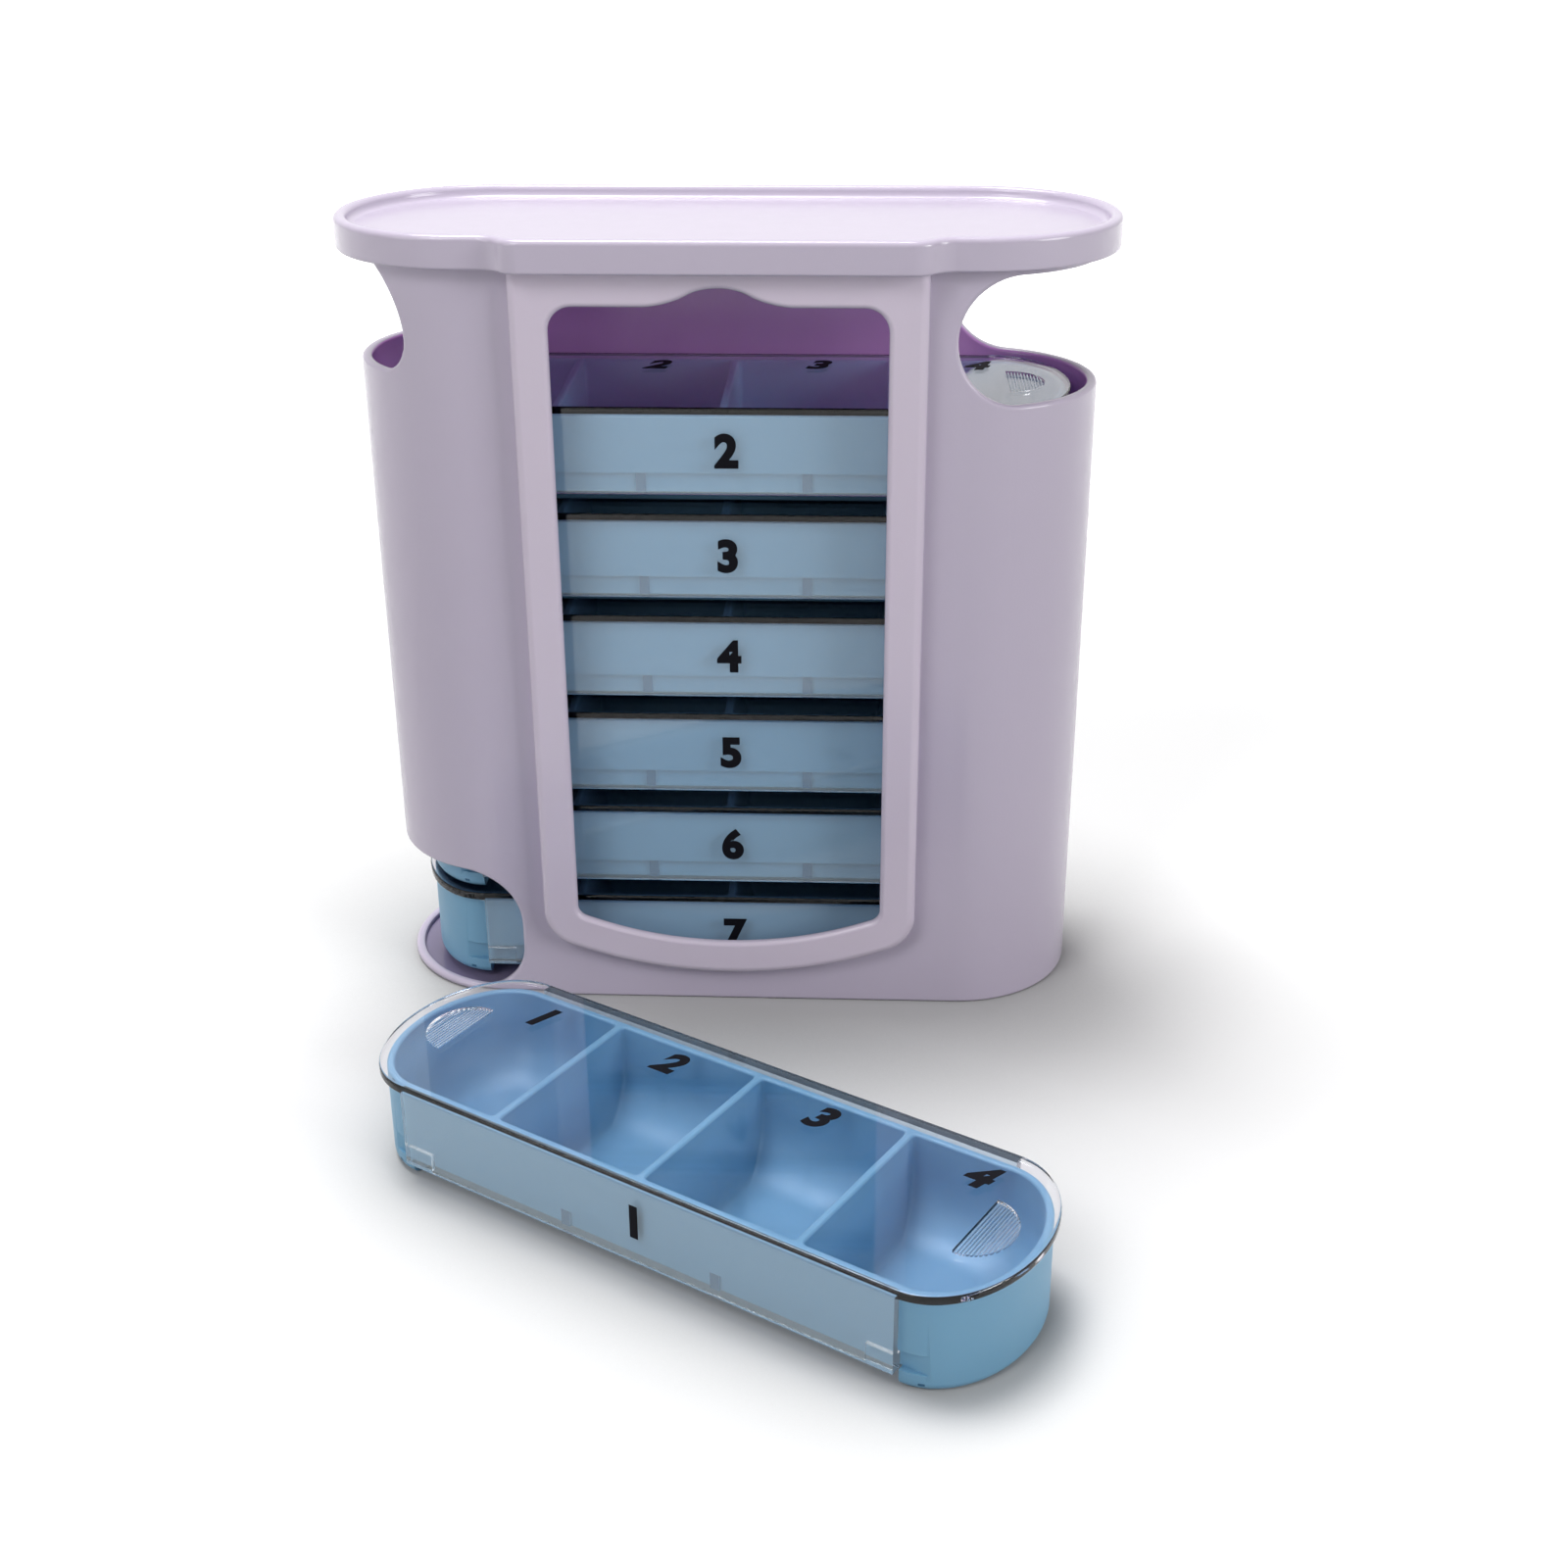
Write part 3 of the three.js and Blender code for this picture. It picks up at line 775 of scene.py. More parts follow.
class OrganizerSizes(PropertyGroup):
    """Sizes that can be changed without leaving the CAD model's outline."""

    cut_edge: length_setting(
        "Cut edge round", "Rounding along the edges of the openings in the housing", 0.7, 0.1, 0.85
    )
    frame_edge: length_setting(
        "Frame edge round", "Rounding along the outer edge of the raised frame", 1.6, 0.2, 2.6
    )
    cap_edge: length_setting(
        "Cap edge round", "Rounding along the upper outer edge of the cap", 1.0, 0.1, 1.1
    )
    tray_edge: length_setting(
        "Tray edge round", "Rounding along the upper edges of the trays", 0.45, 0.05, 0.5
    )
    number_height: length_setting("Number height", "Height of the printed numbers", 5.4, 2, 9)


class OrganizerColours(PropertyGroup):
    """Colours and gloss of the pieces."""

    shell: colour_setting("Shell", "Colour of the housing and the cap", (0.625, 0.558, 0.690))
    shell_cloud: colour_setting(
        "Shell clouds", "Colour that drifts into the shell's colour", (0.588, 0.520, 0.660)
    )
    # Painted light: the raised frame is drawn paler than the shell, the more so the further it
    # stands out
    shell_raised: colour_setting(
        "Shell frame light",
        "Painted light on the raised frame, paler than the shell",
        (0.760, 0.670, 0.800),
    )
    # Painted shade: the housing's inner faces take a deeper purple, for the tinted shade inside
    # the tower
    shell_inside: colour_setting(
        "Shell inside shade", "Painted shade on the housing's inner faces, a deeper purple", (0.720, 0.360, 0.800)
    )
    # Painted shade: the housing's floor takes the deepest colour, where little light reaches
    shell_floor: colour_setting(
        "Shell floor shade", "Painted shade on the housing's floor, the deepest colour of the shell", (0.260, 0.220, 0.350)
    )
    shell_roughness: roughness_setting("Shell roughness", "How dull the shell is", 0.17)
    tray: colour_setting("Trays", "Colour of the day trays", (0.205, 0.440, 0.640))
    tray_cloud: colour_setting(
        "Tray clouds", "Colour that drifts into the trays' colour", (0.230, 0.460, 0.660)
    )
    # Painted shade on the small ribs, for the shade in the recessed grooves
    tray_detent: colour_setting(
        "Tray detents",
        "Deeper colour of the small ribs in the trays' grooves",
        (0.030, 0.130, 0.260),
    )
    tray_roughness: roughness_setting("Tray roughness", "How dull the trays are", 0.42)
    lid_tint: colour_setting("Lid tint", "Tint of the clear lids", (0.960, 0.955, 0.990))
    lid_roughness: roughness_setting("Lid roughness", "How dull the clear lids are", 0.01)
    ink: colour_setting("Ink", "Colour of the printed numbers", (0.006, 0.006, 0.009))


# Housing


def sagging_corners(half, bottom, sag, corner):
    """Lower corners of an upright outline whose bottom edge sags in a curve."""
    inner = half - corner
    slope = 2 * sag * inner / half**2
    edge = bottom + sag * (inner / half) ** 2
    run = math.hypot(1, slope)
    return [
        (-half, edge + slope * corner, corner, 8),
        (0, edge - slope * inner, inner * run - SAG_TRIM, SAG_STEPS, SAG_BOW),
        (half, edge + slope * corner, corner, 8),
    ]


def shifted(corners, middle):
    """Corners moved along the flat wall."""
    return [(u + middle, *rest) for u, *rest in corners]


def frame_blank(name, inset, front, back, top):
    """The raised frame's outline, drawn in by an inset, as a plate on the flat wall."""
    half = FRAME_HALF - inset
    low = sagging_corners(half, FRAME_BOTTOM + inset, FRAME_SAG, FRAME_CORNER - inset)
    corners = shifted([*low, (half, top), (-half, top)], FRONT_MIDDLE)
    return plate(name, corners, front, back, upright=True)


def window_blank():
    """The window's outline, with its finger notch, as a tool through the flat wall."""
    low = sagging_corners(WINDOW_HALF, WINDOW_BOTTOM, WINDOW_SAG, WINDOW_CORNER)
    top = [
        (WINDOW_HALF, WINDOW_TOP, WINDOW_TOP_CORNER, 8),
        (NOTCH_FOOT, WINDOW_TOP, NOTCH_FOOT_ROUND, 8),
        (0, NOTCH_PEAK, NOTCH_PEAK_ROUND, 12),
        (-NOTCH_FOOT, WINDOW_TOP, NOTCH_FOOT_ROUND, 8),
        (-WINDOW_HALF, WINDOW_TOP, WINDOW_TOP_CORNER, 8),
    ]
    return plate("window_tool", shifted(low + top, FRONT_MIDDLE), -2 * PAST, PAST, upright=True)


def opening_tools():
    """Tools for the three openings in the ends of the flat wall."""
    turn = full_round((LOADING_TOP - LOADING_BOTTOM) / 2, 14)
    loading = four_corners(-LOADING_HALF, LOADING_HALF, LOADING_BOTTOM, LOADING_TOP, turn)
    way_out = [
        (-EXIT_HALF, LIP_HEIGHT, EXIT_LOW_ROUND, 14),
        (EXIT_HALF, LIP_HEIGHT, EXIT_LOW_ROUND, 14),
        (EXIT_HALF, EXIT_TOP, EXIT_TOP_ROUND, 14),
        (-EXIT_HALF, EXIT_TOP, EXIT_TOP_ROUND, 14),
    ]
    finger = [
        (-FINGER_HALF, FINGER_BOTTOM, FINGER_LOW_ROUND, 10),
        (FINGER_HALF, FINGER_BOTTOM, FINGER_LOW_ROUND, 10),
        (FINGER_HALF, FINGER_SHOULDER, FINGER_HIGH_ROUND, 12),
        (FINGER_TOP_HALF, FINGER_TOP),
        (-FINGER_TOP_HALF, FINGER_TOP),
        (-FINGER_HALF, FINGER_SHOULDER, FINGER_HIGH_ROUND, 12),
    ]
    return [
        plate("loading_tool", shifted(loading, RIGHT_END_MIDDLE), -PAST, PAST, upright=True),
        plate("exit_tool", shifted(way_out, LEFT_END_MIDDLE), -PAST, PAST, upright=True),
        plate("finger_tool", shifted(finger, LEFT_END_MIDDLE), -PAST, PAST, upright=True),
    ]


def wrap_path():
    """The outline that the flat wall is bent round, once round from the middle of the back."""
    clear_bench()
    bpy.ops.curve.primitive_bezier_curve_add()
    path = bpy.context.object
    path.name = "wrap_path"
    flat, radius = HOUSING_FLAT, HOUSING_RADIUS
    # Handles of a quarter circle, and of a third of a straight side
    bend = 4 / 3 * math.tan(math.pi / 8) * radius
    run = flat / 3
    stations = [
        ((0, radius), (-1, 0), run, run),
        ((-flat, radius), (-1, 0), run, bend),
        ((-flat - radius, 0), (0, -1), bend, bend),
        ((-flat, -radius), (1, 0), bend, 2 * run),
        ((flat, -radius), (1, 0), 2 * run, bend),
        ((flat + radius, 0), (0, 1), bend, bend),
        ((flat, radius), (-1, 0), bend, run),
        ((0, radius), (-1, 0), run, run),
    ]
    path.data.splines.clear()
    spline = path.data.splines.new("BEZIER")
    spline.bezier_points.add(len(stations) - 1)
    spline.resolution_u = WRAP_STEPS
    for point, (spot, heading, before, after) in zip(spline.bezier_points, stations):
        point.handle_left_type = point.handle_right_type = "FREE"
        point.co = mm(*spot, 0)
        point.handle_left = mm(spot[0] - heading[0] * before, spot[1] - heading[1] * before, 0)
        point.handle_right = mm(spot[0] + heading[0] * after, spot[1] + heading[1] * after, 0)
    path.data.dimensions = "3D"
    path.data.twist_mode = "Z_UP"
    return path


def flat_housing(sizes):
    """The housing's wall laid out flat, with its frame and openings, seen from outside."""
    spare_top = HOUSING_HEIGHT + 1
    wall = block("housing_shell", (0, 0, 0), (WRAP_LENGTH, HOUSING_WALL, spare_top))
    raised = frame_blank("raised_frame", 0, -FRAME_PROUD, HOUSING_WALL / 2, spare_top)
    round_edges(
        raised,
        sizes.frame_edge / MM,
        8,
        lambda edge: lies_at(edge, "y", -FRAME_PROUD) and not lies_at(edge, "z", spare_top),
    )
    weld(wall, raised)
    hollow = frame_blank(
        "frame_hollow", FRAME_WALL, FRAME_WALL - FRAME_PROUD, PAST, HOUSING_HEIGHT + PAST
    )
    cut(wall, hollow, window_blank(), *opening_tools())
    slice_at(wall, mm(0, 0, HOUSING_HEIGHT), (0, 0, 1), clear_outer=True, use_fill=True)
    return wall


def round_housing(wall, sizes):
    """Rounds the edges of the flat wall."""

    def at_window(depth):
        return lambda edge: lies_at(edge, "y", depth) and all(
            abs(v.co.x / MM - FRONT_MIDDLE) < WINDOW_HALF + 1 for v in edge.verts
        )

    def on_rim(edge):
        rims = (("z", 0), ("z", HOUSING_HEIGHT), ("x", 0), ("x", WRAP_LENGTH))
        return any(lies_at(edge, axis, level) for axis, level in rims)

    def at_opening(depth):
        def test(edge):
            middle = (edge.verts[0].co.x + edge.verts[1].co.x) / 2 / MM
            beside_frame = abs(middle - FRONT_MIDDLE) > FRAME_HALF + 1
            return lies_at(edge, "y", depth) and beside_frame and not on_rim(edge)

        return test

    round_edges(wall, WINDOW_FRONT_EDGE, 5, at_window(-FRAME_PROUD))
    round_edges(wall, WINDOW_BACK_EDGE, 3, at_window(FRAME_WALL - FRAME_PROUD))
    for depth in (0, HOUSING_WALL):
        round_edges(wall, sizes.cut_edge / MM, 4, at_opening(depth))
    round_edges(
        wall, BASE_EDGE, 4, lambda edge: lies_at(edge, "z", 0) and lies_at(edge, "y", 0)
    )


def bend_housing(wall):
    """Bends the flat wall round into the tower and closes its seam."""
    half_turn = math.pi * HOUSING_RADIUS
    starts = (HOUSING_FLAT, 3 * HOUSING_FLAT + half_turn)
    shape(wall)
    for start in starts:
        for step in range(ARC_CUTS + 1):
            bpy.ops.mesh.select_all(action="SELECT")
            spot = mm(start + half_turn * step / ARC_CUTS, 0, 0)
            bpy.ops.mesh.bisect(plane_co=spot, plane_no=(1, 0, 0), threshold=SNAP * MM)
    ends = (0, WRAP_LENGTH)
    pick(wall, "faces", lambda face: any(lies_at(face, "x", end) for end in ends))
    bpy.ops.mesh.delete(type="FACE")
    clear_bench()
    path = wrap_path()
    use_modifier(wall, "CURVE", object=path, deform_axis="POS_X")
    bpy.data.objects.remove(path)
    shape(wall)
    pick(wall, "verts", lambda vertex: vertex.is_boundary)
    bpy.ops.mesh.remove_doubles(threshold=SEAM_MERGE * MM)
    clear_bench()
    face_outwards(wall)


def floor_housing(wall):
    """Adds the floor and its two rails."""
    middle_radius = HOUSING_RADIUS - HOUSING_WALL / 2
    corners = ended_corners(HOUSING_FLAT, middle_radius, ARC_CUTS // 2)
    ground = plate("housing_floor", corners, FLOOR_RECESS, HOUSING_FLOOR)
    for side in (1, -1):
        y = side * RAIL_SPACING / 2 - RAIL_WIDTH / 2
        low = (-RAIL_LENGTH / 2, y, HOUSING_FLOOR / 2)
        rail = block("rail", low, (RAIL_LENGTH / 2, y + RAIL_WIDTH, RAIL_TOP))
        round_edges(
            rail, RAIL_EDGE, 2, lambda edge: any(near(v.co.z, RAIL_TOP) for v in edge.verts)
        )
        weld(ground, rail)
    weld(wall, ground)
    face_outwards(wall)


class ORGANIZER_OT_housing(Operator):
    """Model the housing: a bent wall with its raised frame, window and openings, and a floor"""

    bl_idname = "organizer.housing"
    bl_label = "Housing"

    def execute(self, context):
        sizes = context.scene.organizer_sizes
        wall = flat_housing(sizes)
        round_housing(wall, sizes)
        bend_housing(wall)
        floor_housing(wall)
        smooth(wall)
        finish_piece(wall, shell_finish(), "tower", "shell_plastic", "housing")
        return {"FINISHED"}


# Cap


class ORGANIZER_OT_cap(Operator):
    """Model the cap: a dished plate with a bulge over the frame, a spigot and two tongues"""

    bl_idname = "organizer.cap"
    bl_label = "Cap"

    def execute(self, context):
        sizes = context.scene.organizer_sizes
        ends = ended_corners(HOUSING_FLAT, CAP_RADIUS, 24)
        bulge = [
            (-BULGE_HALF, -CAP_RADIUS, BULGE_ROUND, 6),
            (BULGE_SLOPE - BULGE_HALF, -CAP_RADIUS - BULGE_REACH, BULGE_ROUND, 6),
            (BULGE_HALF - BULGE_SLOPE, -CAP_RADIUS - BULGE_REACH, BULGE_ROUND, 6),
            (BULGE_HALF, -CAP_RADIUS, BULGE_ROUND, 6),
        ]
        cap = plate("cap_shell", [ends[0], *bulge, *ends[1:]], CAP_BOTTOM, CAP_TOP)
        shape(cap)
        pick(cap, "faces", lambda face: lies_at(face, "z", CAP_TOP))
        bpy.ops.mesh.inset(thickness=CAP_RIM * MM)
        bpy.ops.mesh.extrude_region_move(TRANSFORM_OT_translate={"value": mm(0, 0, -CAP_DISH)})
        clear_bench()
        face_outwards(cap)
        dish_floor = CAP_TOP - CAP_DISH
        shape(cap)
        pick(
            cap,
            "edges",
            lambda edge: lies_at(edge, "z", dish_floor) and edge.calc_face_angle(0) > SHARP,
        )
        round_picked(CAP_DISH_FILLET, 5)
        clear_bench()
        round_edges(cap, sizes.cap_edge / MM, 4, lambda edge: lies_at(edge, "z", CAP_TOP))
        round_edges(cap, CAP_UNDER_EDGE, 3, lambda edge: lies_at(edge, "z", CAP_BOTTOM))
        inside_cap = CAP_BOTTOM + OVERLAP
        outline = ended_corners(HOUSING_FLAT, SPIGOT_OUTER, 20)
        spigot = plate("spigot", outline, SPIGOT_BOTTOM, inside_cap)
        outline = ended_corners(HOUSING_FLAT, SPIGOT_INNER, 20)
        hollow = plate("spigot_hollow", outline, SPIGOT_BOTTOM - PAST, CAP_PLATE_BOTTOM)
        weld(cap, spigot)
        cut(cap, hollow)
        for side in (1, -1):
            depths = sorted((side * SPIGOT_INNER, side * SPIGOT_OUTER))
            low = (-TONGUE_HALF, depths[0], TONGUE_BOTTOM)
            weld(cap, block("tongue", low, (TONGUE_HALF, depths[1], inside_cap)))
        smooth(cap)
        finish_piece(cap, shell_finish(), "tower", "shell_plastic", "top_cap")
        return {"FINISHED"}


# Trays


def pocket_tool(number):
    """The space inside one compartment, as a tool: it is let down in rings that draw in."""
    centre = (number - (POCKETS - 1) / 2) * POCKET_PITCH
    half = (POCKET_PITCH - DIVIDER) / 2
    depth = TRAY_HALF_DEPTH - TRAY_WALL
    above = TRAY_HEIGHT + 1
    side = {0: -1, POCKETS - 1: 1}.get(number, 0)
    left, right = centre - half, centre + half
    corner = (POCKET_CORNER, 3)
    if side:
        reach = TRAY_FLAT + depth
        left, right = (-reach, right) if side < 0 else (left, reach)
    turn = full_round(depth, 16)
    left_corner = turn if side < 0 else corner
    right_corner = turn if side > 0 else corner
    corners = four_corners(left, right, -depth, depth, left_corner, right_corner)
    tool = plate("pocket_tool", corners, above, TRAY_HEIGHT)
    if side:
        squeeze_ends(tool, TRAY_FLAT, (TRAY_END - TRAY_WALL) / depth, (side,))
        wall_x = right if side < 0 else left
        outer_x = side * (TRAY_FLAT + TRAY_END - TRAY_WALL)
    shape(tool)
    pick(tool, "faces", lambda face: lies_at(face, "z", TRAY_HEIGHT))
    bend = TRAY_FLOOR + SCOOP
    move = {"value": mm(0, 0, bend - TRAY_HEIGHT)}
    bpy.ops.mesh.extrude_region_move(TRANSFORM_OT_translate=move)
    if side:
        # An end compartment draws in by both scoops, and the still point lies between them
        width = abs(outer_x - wall_x)
        draw = SCOOP + SIDE_SCOOP
        still = wall_x + side * width * SIDE_SCOOP / draw
    else:
        width, draw, still = half, SIDE_SCOOP, centre
    drawn_x = drawn_y = sunk = 0
    for step in range(1, SCOOP_STEPS + 1):
        angle = math.pi / 2 * step / SCOOP_STEPS
        share, down = 1 - math.cos(angle), SCOOP * math.sin(angle)
        move = {"value": mm(0, 0, sunk - down)}
        bpy.ops.mesh.extrude_region_move(TRANSFORM_OT_translate=move)
        share_x = (width - draw * share) / (width - drawn_x)
        share_y = (depth - SCOOP * share) / (depth - drawn_y)
        bpy.ops.transform.resize(value=(share_x, share_y, 1), center_override=mm(still, 0, 0))
        drawn_x, drawn_y, sunk = draw * share, SCOOP * share, down
    clear_bench()
    face_outwards(tool)
    return tool


def model_tray(sizes):
    """One day tray, standing at the origin."""
    outline = ended_corners(TRAY_FLAT, TRAY_HALF_DEPTH, 20)
    tray = plate("tray_master", outline, 0, TRAY_HEIGHT)
    squeeze_ends(tray, TRAY_FLAT, TRAY_END / TRAY_HALF_DEPTH)
    round_edges(tray, TRAY_BASE_EDGE, 5, lambda edge: lies_at(edge, "z", 0))
    cut(tray, *(pocket_tool(number) for number in range(POCKETS)))
    round_edges(tray, sizes.tray_edge / MM, 3, lambda edge: lies_at(edge, "z", TRAY_HEIGHT))
    groove = TRAY_HALF_DEPTH - GROOVE_DEPTH
    foot = TRAY_HALF_DEPTH - FOOT_INSET
    outside = TRAY_HALF_DEPTH + PAST
    past_end = TRAY_FLAT + TRAY_END + PAST
    for side in (1, -1):
        def beside(inner, outer):
            return sorted((side * inner, side * outer))

        y0, y1 = beside(foot, outside)
        tool = block("foot_tool", (-TRAY_FLAT, y0, -PAST), (TRAY_FLAT, y1, FOOT_HEIGHT))
        shape(tool)
        pick(tool, "verts", lambda v: near(v.co.y, side * foot) and near(v.co.z, -PAST))
        lean = FOOT_SLOPE * (FOOT_HEIGHT + PAST) / FOOT_HEIGHT
        bpy.ops.transform.translate(value=mm(0, -side * lean, 0))
        cut(tray, tool)
        y0, y1 = beside(groove, outside)
        cut(tray, block("groove_tool", (-past_end, y0, FOOT_HEIGHT), (past_end, y1, GROOVE_TOP)))
        y0, y1 = beside(groove - OVERLAP, groove + DETENT_PROUD)
        for end in (1, -1):
            middle = end * POCKET_PITCH / 2
            low = (middle - DETENT_WIDTH / 2, y0, FOOT_HEIGHT)
            high = (middle + DETENT_WIDTH / 2, y1, GROOVE_TOP)
            weld(tray, block("detent", low, high))
    face_outwards(tray)
    smooth(tray)
    # The ribs' faces in the grooves take the second material, with its painted shade
    for face in tray.data.polygons:
        on_rib = near(abs(face.center.y), groove + DETENT_PROUD)
        if on_rib and abs(face.normal.y) > DETENT_FACING:
            face.material_index = 1
    return tray


class ORGANIZER_OT_trays(Operator):
    """Model one day tray and set out a copy for each day"""

    bl_idname = "organizer.trays"
    bl_label = "Day trays"

    def execute(self, context):
        master = model_tray(context.scene.organizer_sizes)
        master.data.materials.append(tray_finish())
        master.data.materials.append(detent_finish())
        for day in range(1, DAYS + 1):
            tray = copy_of(master, "tray_%d_body" % day, tray_place(day))
            node = "tray_%d" % day
            finish_piece(tray, tray_finish(), node, "tray_plastic", node)
        bpy.data.objects.remove(master)
        return {"FINISHED"}


# Lids


def grip_tool(side):
    """The sunk thumb grip near one end of a lid, as a tool with grooves for its ribs."""
    left, right = sorted((side * GRIP_FLAT, side * (GRIP_FLAT + GRIP_HALF)))
    turn = full_round(GRIP_HALF, 12)
    left_corner = turn if side < 0 else (GRIP_CORNER, 2)
    right_corner = turn if side > 0 else (GRIP_CORNER, 2)
    corners = four_corners(left, right, -GRIP_HALF, GRIP_HALF, left_corner, right_corner)
    bottom = LID_TOP - GRIP_DEPTH
    tool = plate("grip_tool", corners, bottom, LID_TOP + 1)
    squeeze_ends(tool, GRIP_FLAT, GRIP_REACH / GRIP_HALF, (side,))
    for rib in range(GRIP_RIBS):
        x = side * (GRIP_FLAT + GRIP_RIB_PITCH * (rib + GRIP_RIB_START))
        low = (x - GRIP_RIB_WIDTH / 2, -GRIP_HALF - 1, bottom - 1)
        high = (x + GRIP_RIB_WIDTH / 2, GRIP_HALF + 1, bottom + GRIP_RIB_HEIGHT)
        cut(tool, block("grip_rib", low, high))
    return tool


def model_lid():
    """One sliding lid, over a tray at the origin."""
    outline = ended_corners(TRAY_FLAT, LID_HALF_DEPTH, 20)
    lid = plate("lid_master", outline, LID_BOTTOM, LID_TOP)
    squeeze_ends(lid, TRAY_FLAT, LID_END / LID_HALF_DEPTH)
    for side in (1, -1):
        outer = side * LID_HALF_DEPTH
        inner = side * (LID_HALF_DEPTH - FLAP)
        hook = side * (LID_HALF_DEPTH - FLAP - HOOK_REACH)
        start = FLAP_HALF - HOOK_LENGTH
        hooked = [
            (-FLAP_HALF, outer),
            (FLAP_HALF, outer),
            (FLAP_HALF, hook),
            (start, hook),
            (start, inner),
            (-start, inner),
            (-start, hook),
            (-FLAP_HALF, hook),
        ]
        y0, y1 = sorted((outer, inner))
        top = LID_BOTTOM + OVERLAP
        weld(lid, block("flap", (-FLAP_HALF, y0, HOOK_TOP - 1), (FLAP_HALF, y1, top)))
        weld(lid, plate("hooked_edge", hooked, FLAP_BOTTOM, HOOK_TOP))
    round_edges(lid, LID_EDGE, 3, lambda edge: lies_at(edge, "z", LID_TOP))
    round_edges(
        lid,
        FLAP_EDGE,
        2,
        lambda edge: lies_at(edge, "z", FLAP_BOTTOM)
        or all(near(v.co.z, LID_BOTTOM) and abs(v.co.x) > TRAY_FLAT * MM for v in edge.verts),
    )
    cut(lid, grip_tool(1), grip_tool(-1))
    face_outwards(lid)
    smooth(lid)
    rib_top = LID_TOP - GRIP_DEPTH + GRIP_RIB_HEIGHT
    for face in lid.data.polygons:
        on_flap = abs(face.normal.y) > SATIN_FACING and face.center.z < LID_BOTTOM * MM
        if on_flap or all(near(lid.data.vertices[v].co.z, rib_top) for v in face.vertices):
            face.material_index = 1
    return lid


class ORGANIZER_OT_lids(Operator):
    """Model one clear lid and set out a copy on each tray"""

    bl_idname = "organizer.lids"
    bl_label = "Sliding lids"

    def execute(self, context):
        master = model_lid()
        master.data.materials.append(lid_finish())
        master.data.materials.append(satin_finish())
        for day in range(1, DAYS + 1):
            lid = copy_of(master, "lid_%d_clear" % day, tray_place(day))
            # From this day on, the lids pass little light, a painted shade in the stack
            if day >= DARK_FROM_DAY:
                lid.data.materials[0] = stacked_finish()
            finish_piece(lid, lid_finish(), lid_body(day), "clear_plastic", "lid_%d" % day)
        bpy.data.objects.remove(master)
        return {"FINISHED"}


# Printed numbers


def printed_number(text, height, slant):
    """A bold printed figure as a thin mesh, centred at the origin and facing up."""
    clear_bench()
    bpy.ops.object.text_add()
    figure = bpy.context.object
    figure.data.body = text
    figure.data.size = height * TYPE_SIZE
    figure.data.offset = height * TYPE_WEIGHT
    figure.data.shear = slant
    figure.data.extrude = INK_PROUD * MM / 2
    figure.data.align_x = "CENTER"
    figure.data.align_y = "CENTER"
    figure.data.resolution_u = TYPE_STEPS
    bpy.ops.object.convert(target="MESH")
    figure = bpy.context.object
    face_outwards(figure)
    return figure


class ORGANIZER_OT_numbers(Operator):
    """Print a day number on each lid's front flap and part-of-day numbers on its top"""

    bl_idname = "organizer.numbers"
    bl_label = "Printed numbers"

    def execute(self, context):
        height = context.scene.organizer_sizes.number_height
        parts = [printed_number(str(n + 1), height, PART_NUMBER_SLANT) for n in range(POCKETS)]
        for day in range(1, DAYS + 1):
            place = tray_place(day)
            front = printed_number(str(day), height, 0)
            front.name = "day_%d_number" % day
            spot = mm(DAY_NUMBER_X, -LID_HALF_DEPTH - INK_PROUD / 2, DAY_NUMBER_Z)
            stand = Matrix.Rotation(math.pi / 2, 4, "X")
            put(front, place @ Matrix.Translation(spot) @ stand)
            finish_piece(front, ink_finish(), lid_body(day), None)
            for number, (x, y) in enumerate(PART_NUMBERS):
                spot = mm(x, y, LID_TOP + INK_PROUD / 2)
                name = "day_%d_part_%d" % (day, number + 1)
                mark = copy_of(parts[number], name, place @ Matrix.Translation(spot))
                finish_piece(mark, ink_finish(), lid_body(day), None)
        for part in parts:
            bpy.data.objects.remove(part)
        return {"FINISHED"}


# Stage: its lengths are in metres, but for the camera's place and lens

FLOOR_SIZE = 8
FLOOR_DROP = 0.0001
FLOOR_ROUGHNESS = 0.9
FLOOR_SEEN = 0.95
FLOOR_BOUNCE = 0.32
CONTACT_REACH = 0.045
CONTACT_DARKEST = 0.6
GLOW_START = 0.25
GLOW_FULL = 0.9
WORLD_LIGHT = 0.15
LAMP_AIM = (0, 0, 0.06)
LAMPS = (
    ("key_lamp", (-0.7, -1.0, 1.2), 0.6, 6.5),
    ("left_lamp", (-1.2, -0.9, 0.45), 0.6, 3),
    ("top_lamp", (-0.3, 0.3, 1.55), 0.7, 21),
    ("right_lamp", (1.25, -0.65, 0.55), 0.6, 9),
)
CAMERA_PLACE = (25.386, -355.228, 204.110)
CAMERA_YAW = -0.0456
CAMERA_PITCH = 0.4454
CAMERA_ROLL = -0.0049
CAMERA_LENS = 47.571
CAMERA_SENSOR = 36
CAMERA_CLIP = (0.01, 50)


def soft_lamp(name, place, size, power):
    """A large white square lamp that faces the tower. Lengths in metres."""
    clear_bench()
    bpy.ops.object.light_add(type="AREA", location=place)
    lamp = bpy.context.object
    lamp.name = name
    lamp.data.size = size
    lamp.data.energy = power
    heading = Vector(LAMP_AIM) - Vector(place)
    lamp.rotation_euler = heading.to_track_quat("-Z", "Y").to_euler()


def seen_rays(tree):
    """One for camera rays, and for rays that gloss and clear plastic send on from them."""
    path = tree.nodes.new("ShaderNodeLightPath").outputs
    direct = math_node(tree, "MAXIMUM", path["Is Camera Ray"], path["Is Glossy Ray"])
    either = math_node(tree, "MAXIMUM", direct, path["Is Transmission Ray"])
    fresh = math_node(tree, "LESS_THAN", path["Diffuse Depth"], 0.5)
    return math_node(tree, "MULTIPLY", either, fresh)


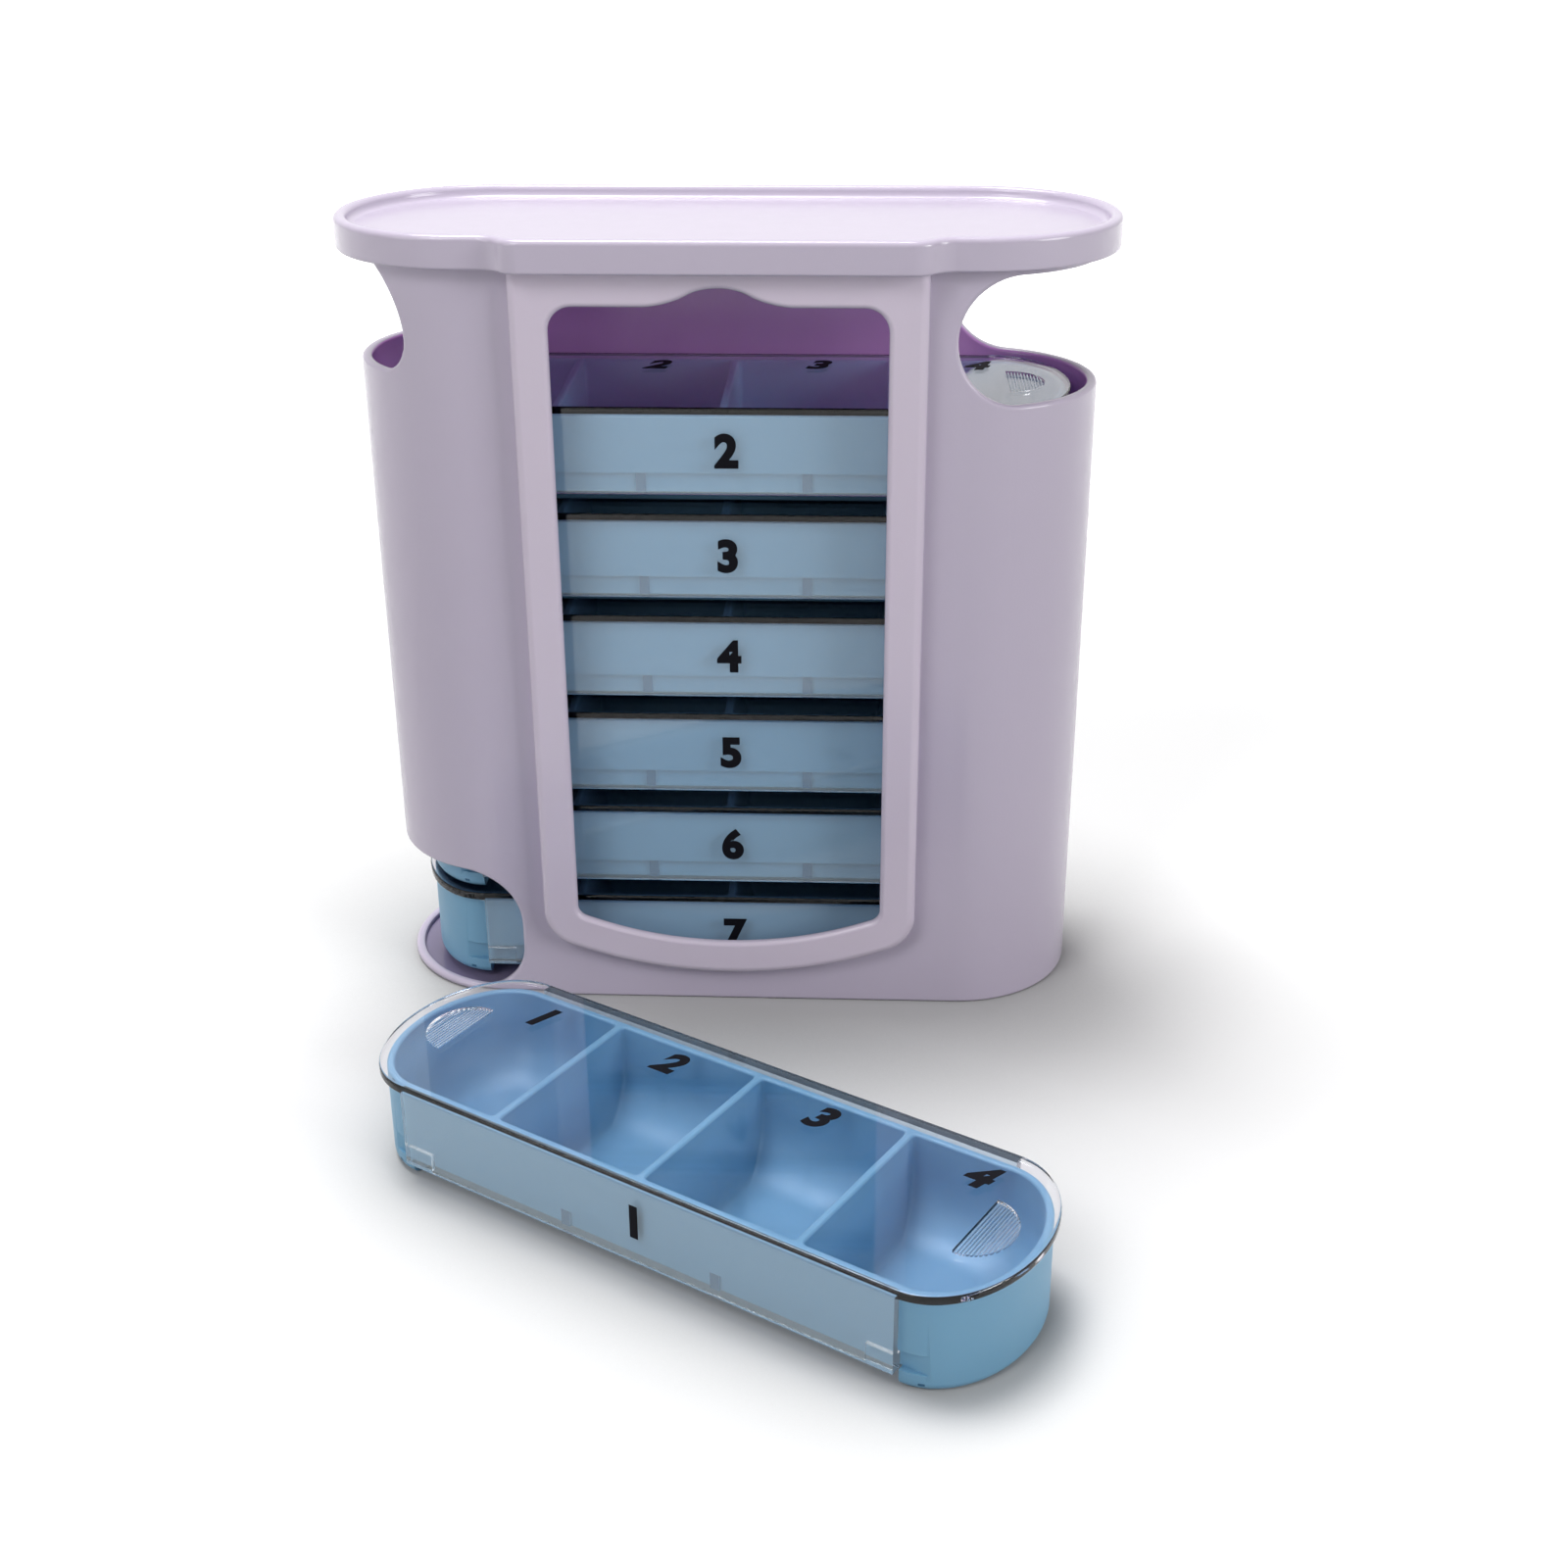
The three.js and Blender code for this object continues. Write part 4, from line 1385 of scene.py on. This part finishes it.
def pale_world():
    """A pale surround that shows pure white to the camera."""
    world = bpy.data.worlds.new("pale_surround")
    world.use_nodes = True
    tree = world.node_tree
    tree.nodes.clear()
    link = tree.links.new
    output = tree.nodes.new("ShaderNodeOutputWorld")
    light = add_node(tree, "ShaderNodeBackground", Color=(1, 1, 1, 1), Strength=WORLD_LIGHT)
    white = add_node(tree, "ShaderNodeBackground", Color=(1, 1, 1, 1), Strength=1)
    mix = tree.nodes.new("ShaderNodeMixShader")
    link(seen_rays(tree), mix.inputs["Fac"])
    link(light.outputs["Background"], mix.inputs[1])
    link(white.outputs["Background"], mix.inputs[2])
    link(mix.outputs["Shader"], output.inputs["Surface"])
    bpy.context.scene.world = world


def floor_material():
    """A white floor that keeps the shadows, shades what stands close to a piece, and turns pure
    white further out. It sends little light back up, so the pieces keep their own tones."""
    material, tree, shader, _ = blank_material("white_floor")
    shader.inputs["Roughness"].default_value = FLOOR_ROUGHNESS
    shader.inputs["Specular IOR Level"].default_value = 0
    place = tree.nodes.new("ShaderNodeTexCoord")
    reach = tree.nodes.new("ShaderNodeVectorMath")
    reach.operation = "LENGTH"
    tree.links.new(place.outputs["Object"], reach.inputs[0])
    glow = tree.nodes.new("ShaderNodeMapRange")
    glow.inputs["From Min"].default_value = GLOW_START
    glow.inputs["From Max"].default_value = GLOW_FULL
    tree.links.new(reach.outputs["Value"], glow.inputs["Value"])
    seen = seen_rays(tree)
    lift = math_node(tree, "MULTIPLY", glow.outputs["Result"], seen)
    contact = add_node(tree, "ShaderNodeAmbientOcclusion", Distance=CONTACT_REACH)
    shade = math_node(tree, "MAXIMUM", contact.outputs["AO"], CONTACT_DARKEST)
    shade = math_node(tree, "MULTIPLY", shade, FLOOR_SEEN)
    tone = mix_node(tree, seen, (FLOOR_BOUNCE,) * 3, shade)
    tree.links.new(tone, shader.inputs["Base Color"])
    shader.inputs["Emission Color"].default_value = (1, 1, 1, 1)
    tree.links.new(lift, shader.inputs["Emission Strength"])
    return material


class ORGANIZER_OT_stage(Operator):
    """Set up the floor, the soft lamps and the camera"""

    bl_idname = "organizer.stage"
    bl_label = "Stage"

    def execute(self, context):
        clear_bench()
        bpy.ops.mesh.primitive_plane_add(size=FLOOR_SIZE, location=(0, 0, -FLOOR_DROP))
        ground = bpy.context.object
        ground.name = "stage_floor"
        ground.data.materials.append(floor_material())
        pale_world()
        for lamp in LAMPS:
            soft_lamp(*lamp)
        bpy.ops.object.camera_add(location=mm(*CAMERA_PLACE))
        camera = bpy.context.object
        camera.name = "photo_camera"
        flat = math.cos(CAMERA_PITCH)
        ahead = Vector(
            (math.sin(CAMERA_YAW) * flat, math.cos(CAMERA_YAW) * flat, -math.sin(CAMERA_PITCH))
        )
        level = Vector((math.cos(CAMERA_YAW), -math.sin(CAMERA_YAW), 0))
        upward = level.cross(ahead)
        tilt = Matrix.Rotation(CAMERA_ROLL, 3, -ahead)
        axes = Matrix((tilt @ level, tilt @ upward, -ahead)).transposed()
        camera.rotation_euler = axes.to_euler()
        camera.data.lens = CAMERA_LENS
        camera.data.sensor_width = CAMERA_SENSOR
        camera.data.clip_start, camera.data.clip_end = CAMERA_CLIP
        context.scene.camera = camera
        context.scene.view_settings.view_transform = "Standard"
        return {"FINISHED"}


class ORGANIZER_PT_sidebar(Panel):
    """Sidebar panel with the pieces of the organizer, its sizes and its colours"""

    bl_idname = "ORGANIZER_PT_sidebar"
    bl_label = "Weekly Pill Organizer"
    bl_space_type = "VIEW_3D"
    bl_region_type = "UI"
    bl_category = "Organizer"

    def draw(self, context):
        layout = self.layout
        for settings in (context.scene.organizer_sizes, context.scene.organizer_colours):
            box = layout.box()
            for key in settings.__annotations__:
                box.prop(settings, key)
        for operator in OPERATORS:
            layout.operator(operator.bl_idname)


OPERATORS = (
    ORGANIZER_OT_housing,
    ORGANIZER_OT_cap,
    ORGANIZER_OT_trays,
    ORGANIZER_OT_lids,
    ORGANIZER_OT_numbers,
    ORGANIZER_OT_stage,
)
CLASSES = (OrganizerSizes, OrganizerColours, *OPERATORS, ORGANIZER_PT_sidebar)


def register():
    for item in CLASSES:
        bpy.utils.register_class(item)
    bpy.types.Scene.organizer_sizes = PointerProperty(type=OrganizerSizes)
    bpy.types.Scene.organizer_colours = PointerProperty(type=OrganizerColours)


def unregister():
    del bpy.types.Scene.organizer_colours
    del bpy.types.Scene.organizer_sizes
    for item in reversed(CLASSES):
        bpy.utils.unregister_class(item)


def main():
    """Registers the add-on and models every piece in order."""
    register()
    bpy.ops.organizer.housing()
    bpy.ops.organizer.cap()
    bpy.ops.organizer.trays()
    bpy.ops.organizer.lids()
    bpy.ops.organizer.numbers()
    bpy.ops.organizer.stage()


if __name__ == "__main__":
    main()
